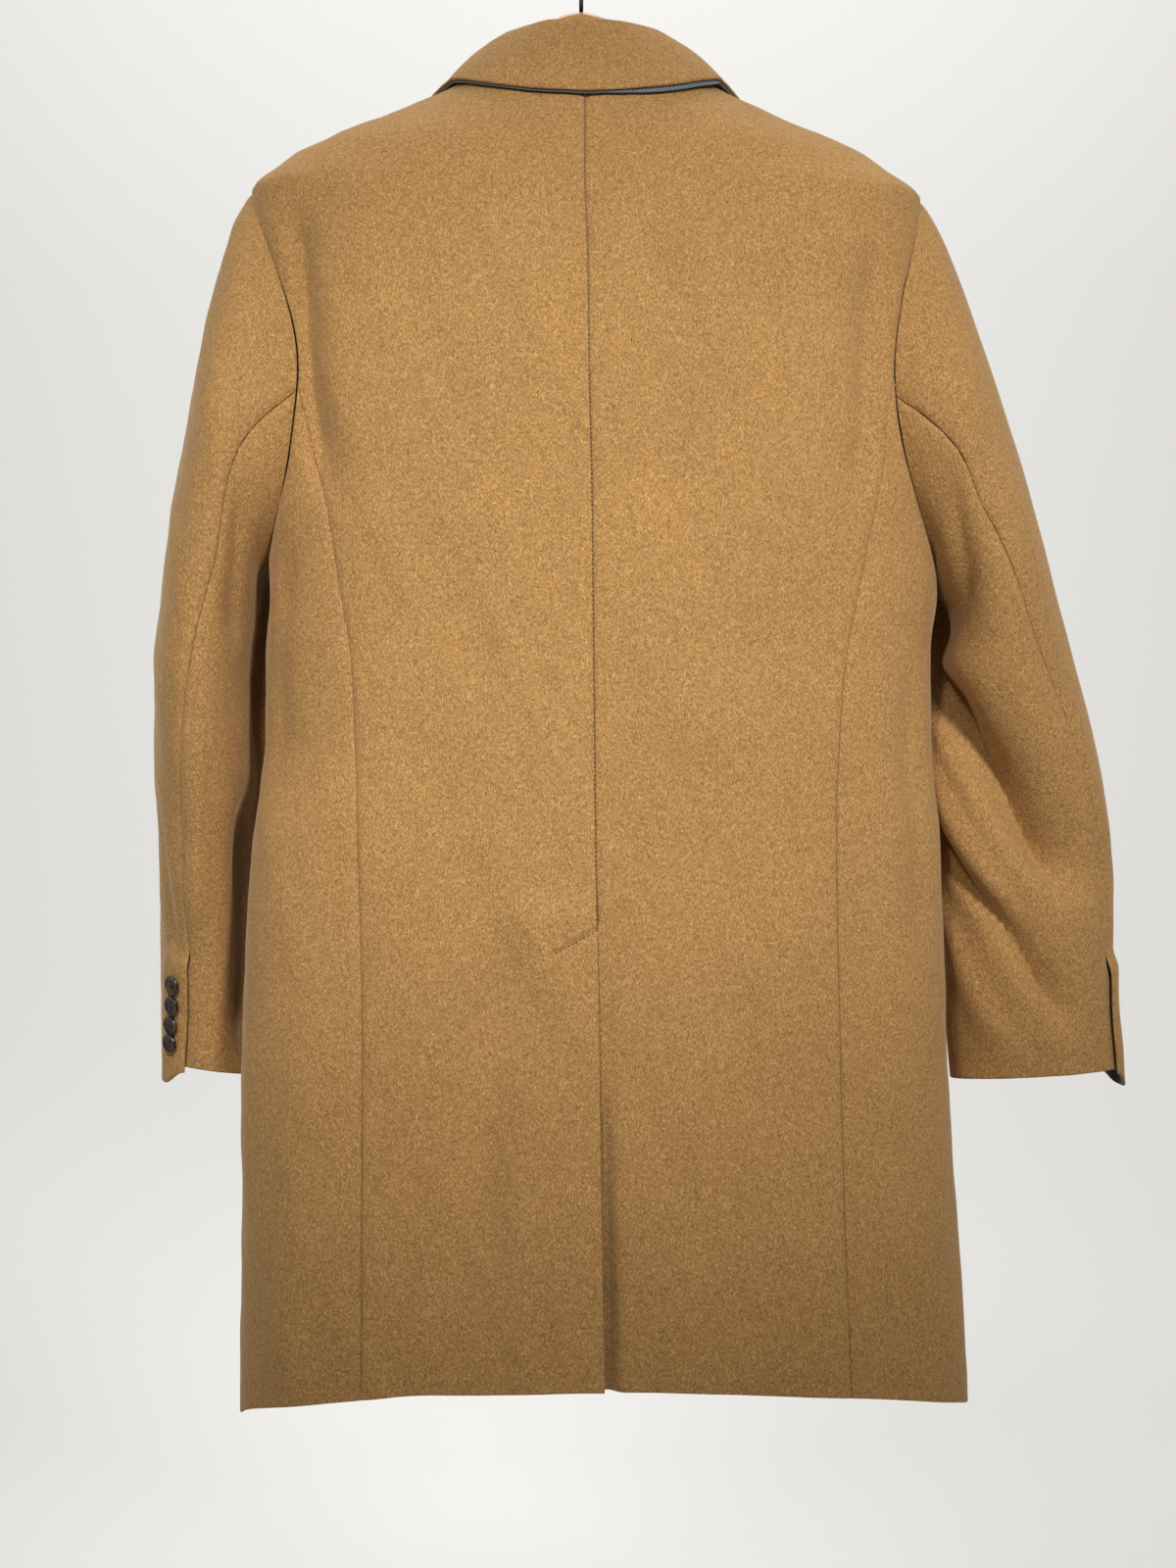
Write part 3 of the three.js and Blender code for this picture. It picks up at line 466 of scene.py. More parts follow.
def makeMesh(name, vertices, faces, materials, faceMaterials=None):
    mesh = bpy.data.meshes.new(name)
    mesh.from_pydata((np.asarray(vertices) * mm).tolist(), [], faces)
    for material in materials:
        mesh.materials.append(material)
    if faceMaterials is not None:
        mesh.polygons.foreach_set("material_index", faceMaterials)
    mesh.polygons.foreach_set("use_smooth", [True] * len(mesh.polygons))
    mesh.update()
    piece = bpy.data.objects.new(name, mesh)
    bpy.context.scene.collection.objects.link(piece)
    return piece


# How the cloth is drawn in at a seam: a narrow dip and a wide one.
seamDips = [{"depth": 1.05, "width": 2.4}, {"depth": 0.45, "width": 8}]


# A closed wall of cloth over grids of pairs. face gives a point at a distance out from the inner
# face. The edges are rounded, and those that are seams are drawn in a little.
def clothPiece(name, grids, face, wall, materials, isSeam, relief=None):
    u, v, quads = joinGrids(*grids)
    faces = triangles(quads)
    bare = face(u, v, 0.0)
    normal = normalsOf(bare, faces)
    sample = slice(len(u) // 2, len(u) // 2 + 1)
    outwards = face(u[sample], v[sample], 1.0) - bare[sample]
    if np.sum(normal[sample] * outwards) < 0:
        normal = -normal
    middle = bare + normal * wall / 2
    rim = rimOf(faces)
    radius = wall / 2
    inset = np.clip(1 - edgeDistance(middle, rim) / radius, 0, 1)
    rounded = radius * (1 - np.sqrt(np.clip(1 - inset**2, 0, 1))) * cloth["roundness"]
    seams = rim[isSeam(u[rim].mean(axis=1), v[rim].mean(axis=1))]
    fromSeam = edgeDistance(middle, seams)
    drawn = sum(dip["depth"] * np.exp(-((fromSeam / dip["width"]) ** 2)) for dip in seamDips)
    height = swellAt(middle) - drawn
    if relief is not None:
        height = height + relief(u, v)
    outer = bare + normal * (wall - rounded + height)[:, None]
    inner = bare + normal * (rounded + height)[:, None]
    count = len(u)
    back = faces[:, ::-1] + count
    first, second = rim[:, 0], rim[:, 1]
    sides = np.concatenate(
        [np.stack([second, first, first + count], 1), np.stack([second, first + count, second + count], 1)]
    )
    whole = np.concatenate([faces, back, sides])
    which = np.zeros(len(whole), int)
    # The inner faces take the second material, which for the wool is the painted shade of the inside.
    if len(materials) > 1:
        which[len(faces):len(faces) + len(back)] = 1
    vertices = np.concatenate([outer, inner])
    a, b, c = (vertices[whole[:, k]] for k in range(3))
    if np.sum(a * np.cross(b, c)) < 0:
        whole = whole[:, ::-1]
    return makeMesh(name, vertices, whole.tolist(), materials, which.tolist())


def newMaterial(name):
    material = bpy.data.materials.new(name)
    material.use_nodes = True
    tree = material.node_tree
    return material, tree, tree.nodes["Principled BSDF"]


# The piece's own place, which a pattern follows.
def placeOf(tree):
    return tree.nodes.new("ShaderNodeTexCoord").outputs["Object"]


def noiseAt(tree, coordinates, scale, detail=2.0, roughness=0.5, stretch=(1, 1, 1)):
    mapping = tree.nodes.new("ShaderNodeMapping")
    mapping.inputs["Scale"].default_value = stretch
    tree.links.new(coordinates, mapping.inputs["Vector"])
    noise = tree.nodes.new("ShaderNodeTexNoise")
    noise.inputs["Scale"].default_value = scale
    noise.inputs["Detail"].default_value = detail
    noise.inputs["Roughness"].default_value = roughness
    tree.links.new(mapping.outputs["Vector"], noise.inputs["Vector"])
    return noise.outputs["Fac"]


def colourRamp(tree, source, stops):
    node = tree.nodes.new("ShaderNodeValToRGB")
    elements = node.color_ramp.elements
    while len(elements) < len(stops):
        elements.new(0.5)
    for element, (position, colour) in zip(elements, stops):
        element.position = position
        element.color = (*colour, 1)
    tree.links.new(source, node.inputs["Fac"])
    return node.outputs["Color"]


def multiplied(tree, first, second):
    node = tree.nodes.new("ShaderNodeMix")
    node.data_type = "RGBA"
    node.blend_type = "MULTIPLY"
    node.inputs["Factor"].default_value = 1
    tree.links.new(first, node.inputs[6])
    tree.links.new(second, node.inputs[7])
    return node.outputs[2]


def bumpFrom(tree, height, distance, strength, before=None):
    node = tree.nodes.new("ShaderNodeBump")
    node.inputs["Distance"].default_value = distance
    node.inputs["Strength"].default_value = strength
    tree.links.new(height, node.inputs["Height"])
    if before is not None:
        tree.links.new(before, node.inputs["Normal"])
    return node.outputs["Normal"]


melton = {
    "dark": (0.225, 0.108, 0.03),
    "middle": (0.4, 0.212, 0.068),
    "light": (0.62, 0.38, 0.155),
    "fibreScale": 1050,
    "mottleScale": 330,
    "patchScale": 9,
    "nap": 0.0011,
    "sheen": 0.35,
}


def makeMelton():
    material, tree, shader = newMaterial("camelMelton")
    place = placeOf(tree)
    fibre = noiseAt(tree, place, melton["fibreScale"], 3, 0.65, (1, 1, 0.55))
    mottle = noiseAt(tree, place, melton["mottleScale"], 3, 0.6)
    patch = noiseAt(tree, place, melton["patchScale"], 2, 0.5)
    heather = colourRamp(
        tree,
        fibre,
        [(0.3, melton["dark"]), (0.5, melton["middle"]), (0.72, melton["light"])],
    )
    shade = colourRamp(tree, mottle, [(0.35, (0.88, 0.87, 0.86)), (0.65, (1.1, 1.1, 1.1))])
    wash = colourRamp(tree, patch, [(0.3, (0.94, 0.94, 0.94)), (0.7, (1.05, 1.05, 1.05))])
    colour = multiplied(tree, heather, shade)
    colour = multiplied(tree, colour, wash)
    tree.links.new(colour, shader.inputs["Base Color"])
    soft = bumpFrom(tree, mottle, melton["nap"] * 1.1, 0.5)
    normal = bumpFrom(tree, fibre, melton["nap"] * 0.5, 0.6, soft)
    tree.links.new(normal, shader.inputs["Normal"])
    shader.inputs["Roughness"].default_value = 0.92
    shader.inputs["Specular IOR Level"].default_value = 0.22
    shader.inputs["Sheen Weight"].default_value = melton["sheen"]
    shader.inputs["Sheen Roughness"].default_value = 0.45
    shader.inputs["Sheen Tint"].default_value = (0.86, 0.68, 0.44, 1)
    return material


# Painted shade: the inside faces of the body and the sleeves get a near-black satin, made dark to stand for
# the shadow inside the coat rather than a lining's own colour.
def makeInsideShade():
    material, tree, shader = newMaterial("paintedInsideShade")
    place = placeOf(tree)
    weave = noiseAt(tree, place, 1400, 2, 0.5, (1, 1, 0.2))
    colour = colourRamp(tree, weave, [(0.3, (0.016, 0.012, 0.011)), (0.7, (0.035, 0.026, 0.022))])
    tree.links.new(colour, shader.inputs["Base Color"])
    tree.links.new(bumpFrom(tree, weave, 0.0004, 0.35), shader.inputs["Normal"])
    shader.inputs["Roughness"].default_value = 0.5
    return material


def makeFelt():
    material, tree, shader = newMaterial("collarFelt")
    place = placeOf(tree)
    fibre = noiseAt(tree, place, 1100, 3, 0.7)
    colour = colourRamp(tree, fibre, [(0.3, (0.075, 0.095, 0.11)), (0.7, (0.2, 0.235, 0.255))])
    tree.links.new(colour, shader.inputs["Base Color"])
    tree.links.new(bumpFrom(tree, fibre, 0.0006, 0.6), shader.inputs["Normal"])
    shader.inputs["Roughness"].default_value = 0.95
    shader.inputs["Sheen Weight"].default_value = 0.3
    return material


def makeHorn():
    material, tree, shader = newMaterial("polishedHorn")
    place = placeOf(tree)
    swirl = noiseAt(tree, place, 210, 4, 0.62, (1, 1, 0.5))
    colour = colourRamp(
        tree,
        swirl,
        [(0.36, (0.006, 0.004, 0.004)), (0.52, (0.022, 0.009, 0.006)), (0.62, (0.11, 0.045, 0.022)),
         (0.72, (0.03, 0.013, 0.008))],
    )
    tree.links.new(colour, shader.inputs["Base Color"])
    tree.links.new(bumpFrom(tree, swirl, 0.0002, 0.25), shader.inputs["Normal"])
    shader.inputs["Roughness"].default_value = 0.16
    shader.inputs["Coat Weight"].default_value = 0.6
    shader.inputs["Coat Roughness"].default_value = 0.08
    return material


def makeThread():
    material, tree, shader = newMaterial("buttonThread")
    place = placeOf(tree)
    twist = noiseAt(tree, place, 1600, 2, 0.5)
    colour = colourRamp(tree, twist, [(0.3, (0.035, 0.022, 0.014)), (0.7, (0.09, 0.06, 0.036))])
    tree.links.new(colour, shader.inputs["Base Color"])
    shader.inputs["Roughness"].default_value = 0.8
    return material


def makeWood():
    material, tree, shader = newMaterial("honeyWood")
    place = placeOf(tree)
    grain = noiseAt(tree, place, 60, 4, 0.6, (0.25, 6, 6))
    pore = noiseAt(tree, place, 420, 2, 0.5, (0.12, 2, 2))
    colour = colourRamp(
        tree,
        grain,
        [(0.3, (0.42, 0.17, 0.03)), (0.5, (0.62, 0.28, 0.055)), (0.72, (0.74, 0.38, 0.09))],
    )
    lines = colourRamp(tree, pore, [(0.4, (0.82, 0.78, 0.74)), (0.6, (1, 1, 1))])
    tree.links.new(multiplied(tree, colour, lines), shader.inputs["Base Color"])
    tree.links.new(bumpFrom(tree, pore, 0.0003, 0.2), shader.inputs["Normal"])
    shader.inputs["Roughness"].default_value = 0.34
    shader.inputs["Coat Weight"].default_value = 0.35
    return material


def makeWire():
    material, tree, shader = newMaterial("blackWire")
    place = placeOf(tree)
    wear = noiseAt(tree, place, 300, 3, 0.6)
    colour = colourRamp(tree, wear, [(0.4, (0.012, 0.012, 0.014)), (0.75, (0.05, 0.05, 0.055))])
    tree.links.new(colour, shader.inputs["Base Color"])
    tree.links.new(bumpFrom(tree, wear, 0.0001, 0.2), shader.inputs["Normal"])
    shader.inputs["Roughness"].default_value = 0.33
    shader.inputs["Metallic"].default_value = 0.85
    return material


finishes = {
    "wool": makeMelton(),
    # The inside finish is painted shade for the coat's inside.
    "inside": makeInsideShade(),
    "felt": makeFelt(),
    "horn": makeHorn(),
    "thread": makeThread(),
    "wood": makeWood(),
    "wire": makeWire(),
}
print("materials made")


def settle(piece, slot, *nodes):
    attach(piece, "root")
    if nodes:
        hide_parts(*nodes)


# The wool on the outer faces, and the painted shade of the inside on the inner faces.
wool = [finishes["wool"], finishes["inside"]]


# Levels of a panel's rows, closer together at the neck, the tops of armhole and vent, and the hem.
def panelRows():
    shoulder = np.arange(-129, levels["shoulder"] + 1, -3.4)
    armhole = levels["shoulder"] - np.array([0, 0.4, 1.2, 2.4, 4, 6, 8.5, 11.5, 15, 19])
    middle = np.arange(-227, -1052, -cloth["spacing"])
    ventTop = np.arange(levels["vent"] + 8, levels["vent"] - 26, -1.5)
    middle = middle[(middle > ventTop[0] + 1) | (middle < ventTop[-1] - 1)]
    middle = np.concatenate([middle, ventTop])
    fixed = np.array([levels["armhole"], levels["vent"]])
    middle = middle[np.abs(middle[:, None] - fixed).min(axis=1) > 0.6]
    parts = [levels["collar"] - edgeSteps, shoulder, armhole, middle, fixed, levels["hem"] + edgeSteps]
    return np.unique(np.round(np.concatenate(parts), 3))[::-1]


rowLevels = panelRows()


# Rows and columns between a panel's outer and inner side, with more columns near the inner one.
def panelGrid(side, outer, inner, length, fine=0):
    share = shares(length)
    if fine > 0:
        near = 1 - np.arange(7.5, fine, 1.8) / length
        kept = share[(share < near[-1]) | (share > near[0])]
        share = np.unique(np.round(np.concatenate([kept, near]), 5))
    angle = outer[:, None] + (inner - outer)[:, None] * share
    level = rowLevel(rowLevels[:, None], sideAngle(side, angle))
    return sideAngle(side, angle), level


def notHem(angle, level):
    return (level > hemAt(angle) + 1) & (level < levels["collar"] - 0.1)


# The groove of the slanted row of stitches at the vent's top.
def ventGroove(angle, level):
    across = bodyInner(angle, level)[..., 0] - ring(level, "centre")
    line = levels["vent"] - ventLine["above"] - ventLine["drop"] * across / ventLine["across"]
    away = (level - line) / ventLine["width"]
    fade = 1 - ramp(ventLine["across"] - 4, ventLine["across"] + 2, across)
    return -ventLine["depth"] * np.exp(-(away**2)) * fade


# The cut sizes are in metres.
backSheet = {
    "flat": {"left": (0.26, 0.96), "right": (0.285, 0.96)},
    "area": {"left": 0.182, "right": 0.199},
    "columns": 230,
}


def makeBack(side):
    def face(angle, level, distance):
        lift = backLift(angle, level) if side == "left" else ventDip(angle, level)
        return bodyPoint(angle, level, distance + lift)

    outer = outerAngle(side, rowLevels, False)
    inner = ownAngle(side, np.full(len(rowLevels), cloth["seamGap"] / 2), rowLevels)
    fine = ventLine["across"] + 6 if side == "left" else 0
    grids = [panelGrid(side, outer, inner, backSheet["columns"], fine)]
    if side == "right":
        grids.append(ventUnderlap(grids[0]))

    def isSeam(angle, level):
        middle = np.abs(sideAngle(side, angle) - 90) < 14
        return notHem(angle, level) & ~(middle & (level < levels["vent"] - 2))

    relief = ventGroove if side == "left" else None
    name = "back" + side.capitalize()
    piece = clothPiece(name, grids, face, cloth["wall"], wool, isSeam, relief)
    settle(piece, "wool", "back_" + side)


# The part of the right back that runs on below the left one at the vent.
def ventUnderlap(grid):
    first = np.argmin(np.abs(rowLevels - levels["vent"]))
    angle, level = grid[0][first:, -1], grid[1][first:, -1]
    share = ((level - level[0]) / (level[-1] - level[0]))[:, None]
    across = np.concatenate([[0], shares(laps["vent"])[3:]])[None, :]
    top = level[0] - laps["ventSlant"] * across
    turned = angleAt(laps["vent"] * across, level[:, None] + 0 * across)
    below = mix(top, hemAt(turned), share)
    turned[:, 0], below[:, 0] = angle, level
    return turned, below


for side in ("left", "right"):
    makeBack(side)
print("backs made")


# The side of the body below the armhole, from the side-back seam to the front's own rows.
def sideZone(side):
    first = np.argmin(np.abs(rowLevels - levels["armhole"]))
    row = rowLevels[first:, None]
    across = shares(frontSheet["sideColumns"])[None, :]
    far = -float(armholes[side]["front"])
    topAngle, topLevel = armholeEdge(side, mix(90, 270, across))
    seam = sideBackAngle(side, row) - 0.01
    even = mix(seam, far, across)
    curved = mix(seam, far, (1 - np.cos(np.pi * across)) / 2)
    angle = mix(curved, even, ramp(levels["armhole"], -560, row))
    angle[:, -1] = far
    hem = hemAt(sideAngle(side, angle))
    plain = rowLevel(row + 0 * across, sideAngle(side, angle))
    level = mix(topLevel, hem, (plain - levels["armhole"]) / (hem - levels["armhole"]))
    level[:, -1] = plain[:, -1]
    angle[0], level[0] = topAngle[0], topLevel[0]
    angle[0, 0] = seam[0, 0]
    return sideAngle(side, angle), level


frontSheet = {"flat": (0.46, 0.97), "area": 0.362, "columns": 200, "sideColumns": 250}


def makeFront(side):
    def face(angle, level, distance):
        lift = frontLift(angle, level) if side == "left" else 0.0
        return bodyPoint(angle, level, distance + lift)

    inner = ownAngle(side, frontEdgeDistance(rowLevels), rowLevels, True)
    outer = outerAngle(side, rowLevels, True)
    grids = [panelGrid(side, outer, inner, frontSheet["columns"]), sideZone(side)]

    def isSeam(angle, level):
        own = sideAngle(side, angle)
        own = np.where(own > 180, own - 360, own)
        return notHem(angle, level) & (own > -60)

    name = "front" + side.capitalize()
    piece = clothPiece(name, grids, face, cloth["wall"], wool, isSeam)
    settle(piece, "wool", "front_" + side)


for side in ("left", "right"):
    makeFront(side)
print("fronts made")

# One row for each ring of a sleeve, from the armhole to the cuff: the outer and inner ends of the
# ring as seen from behind, its half-depth, how far it hangs forward, and the angles of its seams.
leftSleeveRings = table(
    ("outX", "outZ", "inX", "inZ", "depth", "forward", "hind", "fore"),
    (237, -205, 225, -466, 84, 2, 97, -80),
    (248, -226, 231, -470, 83, 2, 98, -80),
    (257, -256, 234, -477, 81, 4, 100, -80),
    (271, -316, 235, -490, 79, 6, 103, -80),
    (284, -386, 237, -508, 76, 8, 104, -80),
    (293, -440, 240, -530, 74, 10, 98, -80),
    (300, -490, 242, -556, 73, 14, 90, -80),
    (306, -541, 241, -590, 74, 20, 82, -80),
    (307, -595, 240, -625, 74, 30, 75, -80),
    (307, -680, 240, -690, 70, 48, 73, -80),
    (307, -760, 238, -765, 62, 63, 76, -80),
    (307, -826, 236, -838, 54, 70, 70, -80),
)
rightSleeveRings = table(
    ("outX", "outZ", "inX", "inZ", "depth", "forward", "hind", "fore"),
    (-241, -208, -243, -466, 84, 2, 97, -80),
    (-254, -230, -250, -469, 83, 2, 97, -80),
    (-268, -262, -254, -474, 80, 4, 97, -82),
    (-284, -306, -258, -481, 76, 6, 96, -84),
    (-300, -352, -262, -490, 73, 8, 95, -86),
    (-315, -398, -268, -500, 70, 9, 90, -90),
    (-328, -442, -270, -514, 68, 11, 82, -96),
    (-341, -488, -264, -534, 65, 14, 72, -105),
    (-351, -524, -256, -560, 63, 18, 62, -115),
    (-361, -562, -255, -590, 61, 24, 52, -124),
    (-372, -606, -257, -628, 58, 29, 42, -134),
    (-382, -662, -261, -678, 54, 32, 33, -142),
    (-385.5, -710, -264, -722, 49, 34, 28, -146),
    (-385.5, -775, -267, -784, 42, 35, 26, -148),
    (-391, -832, -272, -839, 35, 36, 26, -148),
)
# Folds of the sleeves, as rings and angles.
leftSleeveFolds = table(
    ("ring", "angle", "endRing", "endAngle", "low", "high", "depth"),
    (7.9, 168, 11, 134, 26, 40, -15),
    (7.2, 96, 9.8, 88, 22, 12, 4),
    (8.4, 30, 9.9, 62, 16, 9, -4),
    (5.2, -120, 8.6, -95, 18, 14, -8),
    (7.4, -70, 9.8, -20, 14, 10, -5),
    (1.8, 120, 5.6, 138, 22, 16, -5),
)
rightSleeveFolds = table(
    ("ring", "angle", "endRing", "endAngle", "low", "high", "depth"),
    (7.0, 205, 12.2, 60, 44, 9, -30),
    (8.0, 205, 12.6, 92, 8, 22, 9),
    (10.1, 190, 13.6, 62, 20, 7, -13),
    (11, 196, 14, 96, 8, 20, 4),
    (6.5, -150, 10.5, -95, 18, 14, -9),
    (9, -110, 12, -40, 14, 10, -6),
    (1.6, 112, 6, 140, 20, 18, -5),
)
# How far the front of each sleeve's inner side leans in, to rest on the coat's side.
leftSleeveLean = table(
    ("ring", "size"),
    (1.5, 0),
    (3, 22),
    (5, 42),
    (7, 46),
    (9, 34),
    (10.5, 14),
    (11, 8),
)
rightSleeveLean = table(
    ("ring", "size"),
    (1.5, 0),
    (3, 16),
    (5, 34),
    (7.5, 40),
    (9, 30),
    (11, 10),
    (14, 0),
)
sleeves = {
    "left": {"rings": leftSleeveRings, "folds": leftSleeveFolds, "lean": leftSleeveLean},
    "right": {"rings": rightSleeveRings, "folds": rightSleeveFolds, "lean": rightSleeveLean},
}
for shape in sleeves.values():
    for place, row in enumerate(shape["rings"]):
        row["place"] = place
sleeveCut = {
    "gap": 0.04,  # degrees between a seam and each piece
    "blend": 3,  # rings over which a sleeve turns from the armhole's outline into a tube
    "start": {"top": 0.2, "bottom": 0.6},
    "shrink": {"top": 0.2, "bottom": 0.8},
    "lapStart": 77,  # heights above the cuff's hem
    "lapEnd": 66,
    "seamEnd": 74,
    "liftStart": 84,
    "liftEnd": 70,
    "lap": 9,  # degrees that the under sleeve runs on below the upper one
    "lift": 4.6,  # how far the vent's edge stands out
    "liftFrom": 46,  # degrees before the hind seam
    "tipFrom": 70,
    "tipAt": 28,
    "cornerFrom": 27,
    "corner": 0.8,  # how much of the tip is cut back at the seam
    "openEdge": 20,  # degrees of the vent's edge, which is no seam
    "tip": 14,  # how far the point hangs below the hem
    "leanFrom": (196, 226),  # the angles between which the lean grows and fades
    "leanTo": (248, 290),
    "upperColumns": 215,
    "underColumns": 190,
}


def sleeveColumn(side, column, place):
    return readTable(sleeves[side]["rings"], "place", column, place)


def plainSleeve(side, c, s, place):
    outX, inX = sleeveColumn(side, "outX", place), sleeveColumn(side, "inX", place)
    outZ, inZ = sleeveColumn(side, "outZ", place), sleeveColumn(side, "inZ", place)
    y = sleeveColumn(side, "depth", place) * s - sleeveColumn(side, "forward", place)
    return points((outX + inX) / 2 + (outX - inX) / 2 * c, y, (outZ + inZ) / 2 + (outZ - inZ) / 2 * c)


# A point of a sleeve's inner face, from the angle round it and the place along its rings.
def sleeveInner(side, angle, place):
    angle, place = np.broadcast_arrays(np.asarray(angle, float), np.asarray(place, float))
    c, s = np.cos(np.radians(angle)), np.sin(np.radians(angle))
    point = plainSleeve(side, c, s, place)
    joined = 1 - ramp(0, sleeveCut["blend"], np.maximum(place, 0))
    near = joined > 0
    if np.any(near):
        low = (1 - c[near]) / 2
        shrink = mix(sleeveCut["shrink"]["top"], sleeveCut["shrink"]["bottom"], low)
        edgeAngle, edgeLevel = armholeEdge(side, angle[near], shrink)
        edge = bodyInner(sideAngle(side, edgeAngle), edgeLevel)
        edge[:, 0] += sideSign(side) * mix(sleeveCut["start"]["top"], sleeveCut["start"]["bottom"], low)
        first = plainSleeve(side, c[near], s[near], np.zeros(low.shape))
        point[near] += (edge - first) * joined[near][:, None]
    whole = np.mod(angle, 360)
    leans = readTable(sleeves[side]["lean"], "ring", "size", place)
    leans = leans * ramp(*sleeveCut["leanFrom"], whole) * (1 - ramp(*sleeveCut["leanTo"], whole))
    point[..., 0] -= leans * sideSign(side)
    for row in sleeves[side]["folds"]:
        turned = np.where((angle < -90) & (row["angle"] > 90), angle + 360, angle)
        size = foldSize(row, place, turned, row["ring"], row["endRing"], 1)
        point[..., 0] += size * c * sideSign(side)
        point[..., 1] += size * s
    return point


def sleevePoint(side, angle, place, distance):
    return movedOut(lambda a, p: sleeveInner(side, a, p), angle, place, distance, sideSign(side))


def lastRing(side):
    return len(sleeves[side]["rings"]) - 1


# The place along a sleeve's rings that lies this far above its hem.
def aboveCuff(side, height):
    upper, lower = sleeves[side]["rings"][-2:]
    return lastRing(side) - height / (upper["outZ"] - lower["outZ"])


def hindEdge(side, row):
    return sleeveColumn(side, "hind", row) - sleeveCut["gap"]


# The upper sleeve's inner face, which stands out at the vent and comes to a point at its corner.
def upperFace(side, angle, row, distance):
    before = hindEdge(side, row) - angle
    raised = ramp(aboveCuff(side, sleeveCut["liftStart"]), aboveCuff(side, sleeveCut["liftEnd"]), row)
    lift = sleeveCut["lift"] * ramp(sleeveCut["liftFrom"], sleeveCut["tipAt"], before) * raised
    point = sleevePoint(side, angle, row, lift + distance)
    corner = ramp(sleeveCut["tipFrom"], sleeveCut["tipAt"], before)
    corner = corner - sleeveCut["corner"] * ramp(sleeveCut["cornerFrom"], 0, before)
    point[..., 2] -= sleeveCut["tip"] * corner * ramp(lastRing(side) - 0.5, lastRing(side), row)
    return point


# Places along a sleeve's rings for the mesh's rows, about evenly spaced down the arm.
def sleeveRows(side, angle):
    fine = np.linspace(0, lastRing(side), 400)
    line = sleeveInner(side, np.full(400, float(angle)), fine)
    along = np.concatenate([[0], np.cumsum(np.linalg.norm(np.diff(line, axis=0), axis=1))])
    return np.interp(shares(along[-1]) * along[-1], along, fine)


def makeUpperSleeve(side):
    row = sleeveRows(side, 40)[:, None]
    share = shares(sleeveCut["upperColumns"])[None, :]
    angle = mix(sleeveColumn(side, "fore", row) + sleeveCut["gap"], hindEdge(side, row), share)

    def face(angle, row, distance):
        return upperFace(side, angle, row, distance)

    def isSeam(angle, row):
        near = angle > hindEdge(side, row) - sleeveCut["openEdge"]
        vent = (row > aboveCuff(side, sleeveCut["seamEnd"])) & near
        return (row < lastRing(side) - 0.02) & ~vent

    grids = [(angle, row + 0 * share)]
    name = "upperSleeve" + side.capitalize()
    piece = clothPiece(name, grids, face, cloth["wall"], wool, isSeam)
    settle(piece, "wool", "upper_sleeve_" + side)


def makeUnderSleeve(side):
    row = sleeveRows(side, 180)[:, None]
    share = shares(sleeveCut["underColumns"])[None, :]
    low = ramp(aboveCuff(side, sleeveCut["lapStart"]), aboveCuff(side, sleeveCut["lapEnd"]), row)
    hind = sleeveColumn(side, "hind", row) + sleeveCut["gap"] - sleeveCut["lap"] * low
    angle = mix(hind, 360 + sleeveColumn(side, "fore", row) - sleeveCut["gap"], share)

    def face(angle, row, distance):
        return sleevePoint(side, angle, row, distance)

    def isSeam(angle, row):
        return row < aboveCuff(side, sleeveCut["liftEnd"])

    grids = [(angle, row + 0 * share)]
    name = "underSleeve" + side.capitalize()
    piece = clothPiece(name, grids, face, cloth["wall"], wool, isSeam)
    settle(piece, "wool", "under_sleeve_" + side)


for side in ("left", "right"):
    makeUpperSleeve(side)
    makeUnderSleeve(side)
print("sleeves made")

# The collar: its part round the neck, from the centre back to the front, then its part on the chest.
neckSections = table(
    ("angle", "top", "wide", "deep", "edge"),
    (90, -92, 57, 49, -138),
    (60, -93, 57, 50, -135),
    (30, -95, 57, 52, -131),
    (0, -99, 58, 54, -130),
    (-20, -108, 60, 58, -140),
    (-36, -119, 62, 63, -148),
)
chestSections = table(
    ("roll", "out"),
    (-138, 62),
    (-156, 62),
    (-174, 62),
    (-187, 58),
)
collarCut = {
    "foldRadius": 3.2,
    "standOff": 6.4,
    "middle": -3,
    "layerGap": 0.5,
    "foldStart": 0.36,
    "foldEnd": 0.52,
    "belly": 3,
    "frontRise": 3,
    "frontTurn": 0.07,
    "chestBase": -2.4,  # distances from a front's own edge
    "chestTop": -2.0,
    "feltStart": 0.68,
    "feltShown": 0.02,  # how far the undercollar shows past the collar's edge, as a share
    "feltEven": 0.25,  # and how much of that shows everywhere
    "feltFrom": (-0.3, -0.2),  # the places between which all of it shows
    "feltTo": (-0.1, -0.02),
    "feltEnds": 0.998,
    "feltGap": 0.3,
    "chestSlant": 0.3,
}
lapelEdge = table(
    ("roll", "out"),
    (-193, 46),
    (-198, 90),
    (-206, 92),
    (-240, 84),
    (-290, 66),
    (-350, 36),
    (-400, 3),
)
lapelCut = {"top": -193.0, "bottom": {"left": -390, "right": -360}, "turnRows": 7}


# A place on a front, from the level where it leaves the roll line and the distance out from it.
def chestPlace(side, roll, out):
    level = roll - collarCut["chestSlant"] * out
    return ownAngle(side, frontEdgeDistance(roll) + out, level, True), level


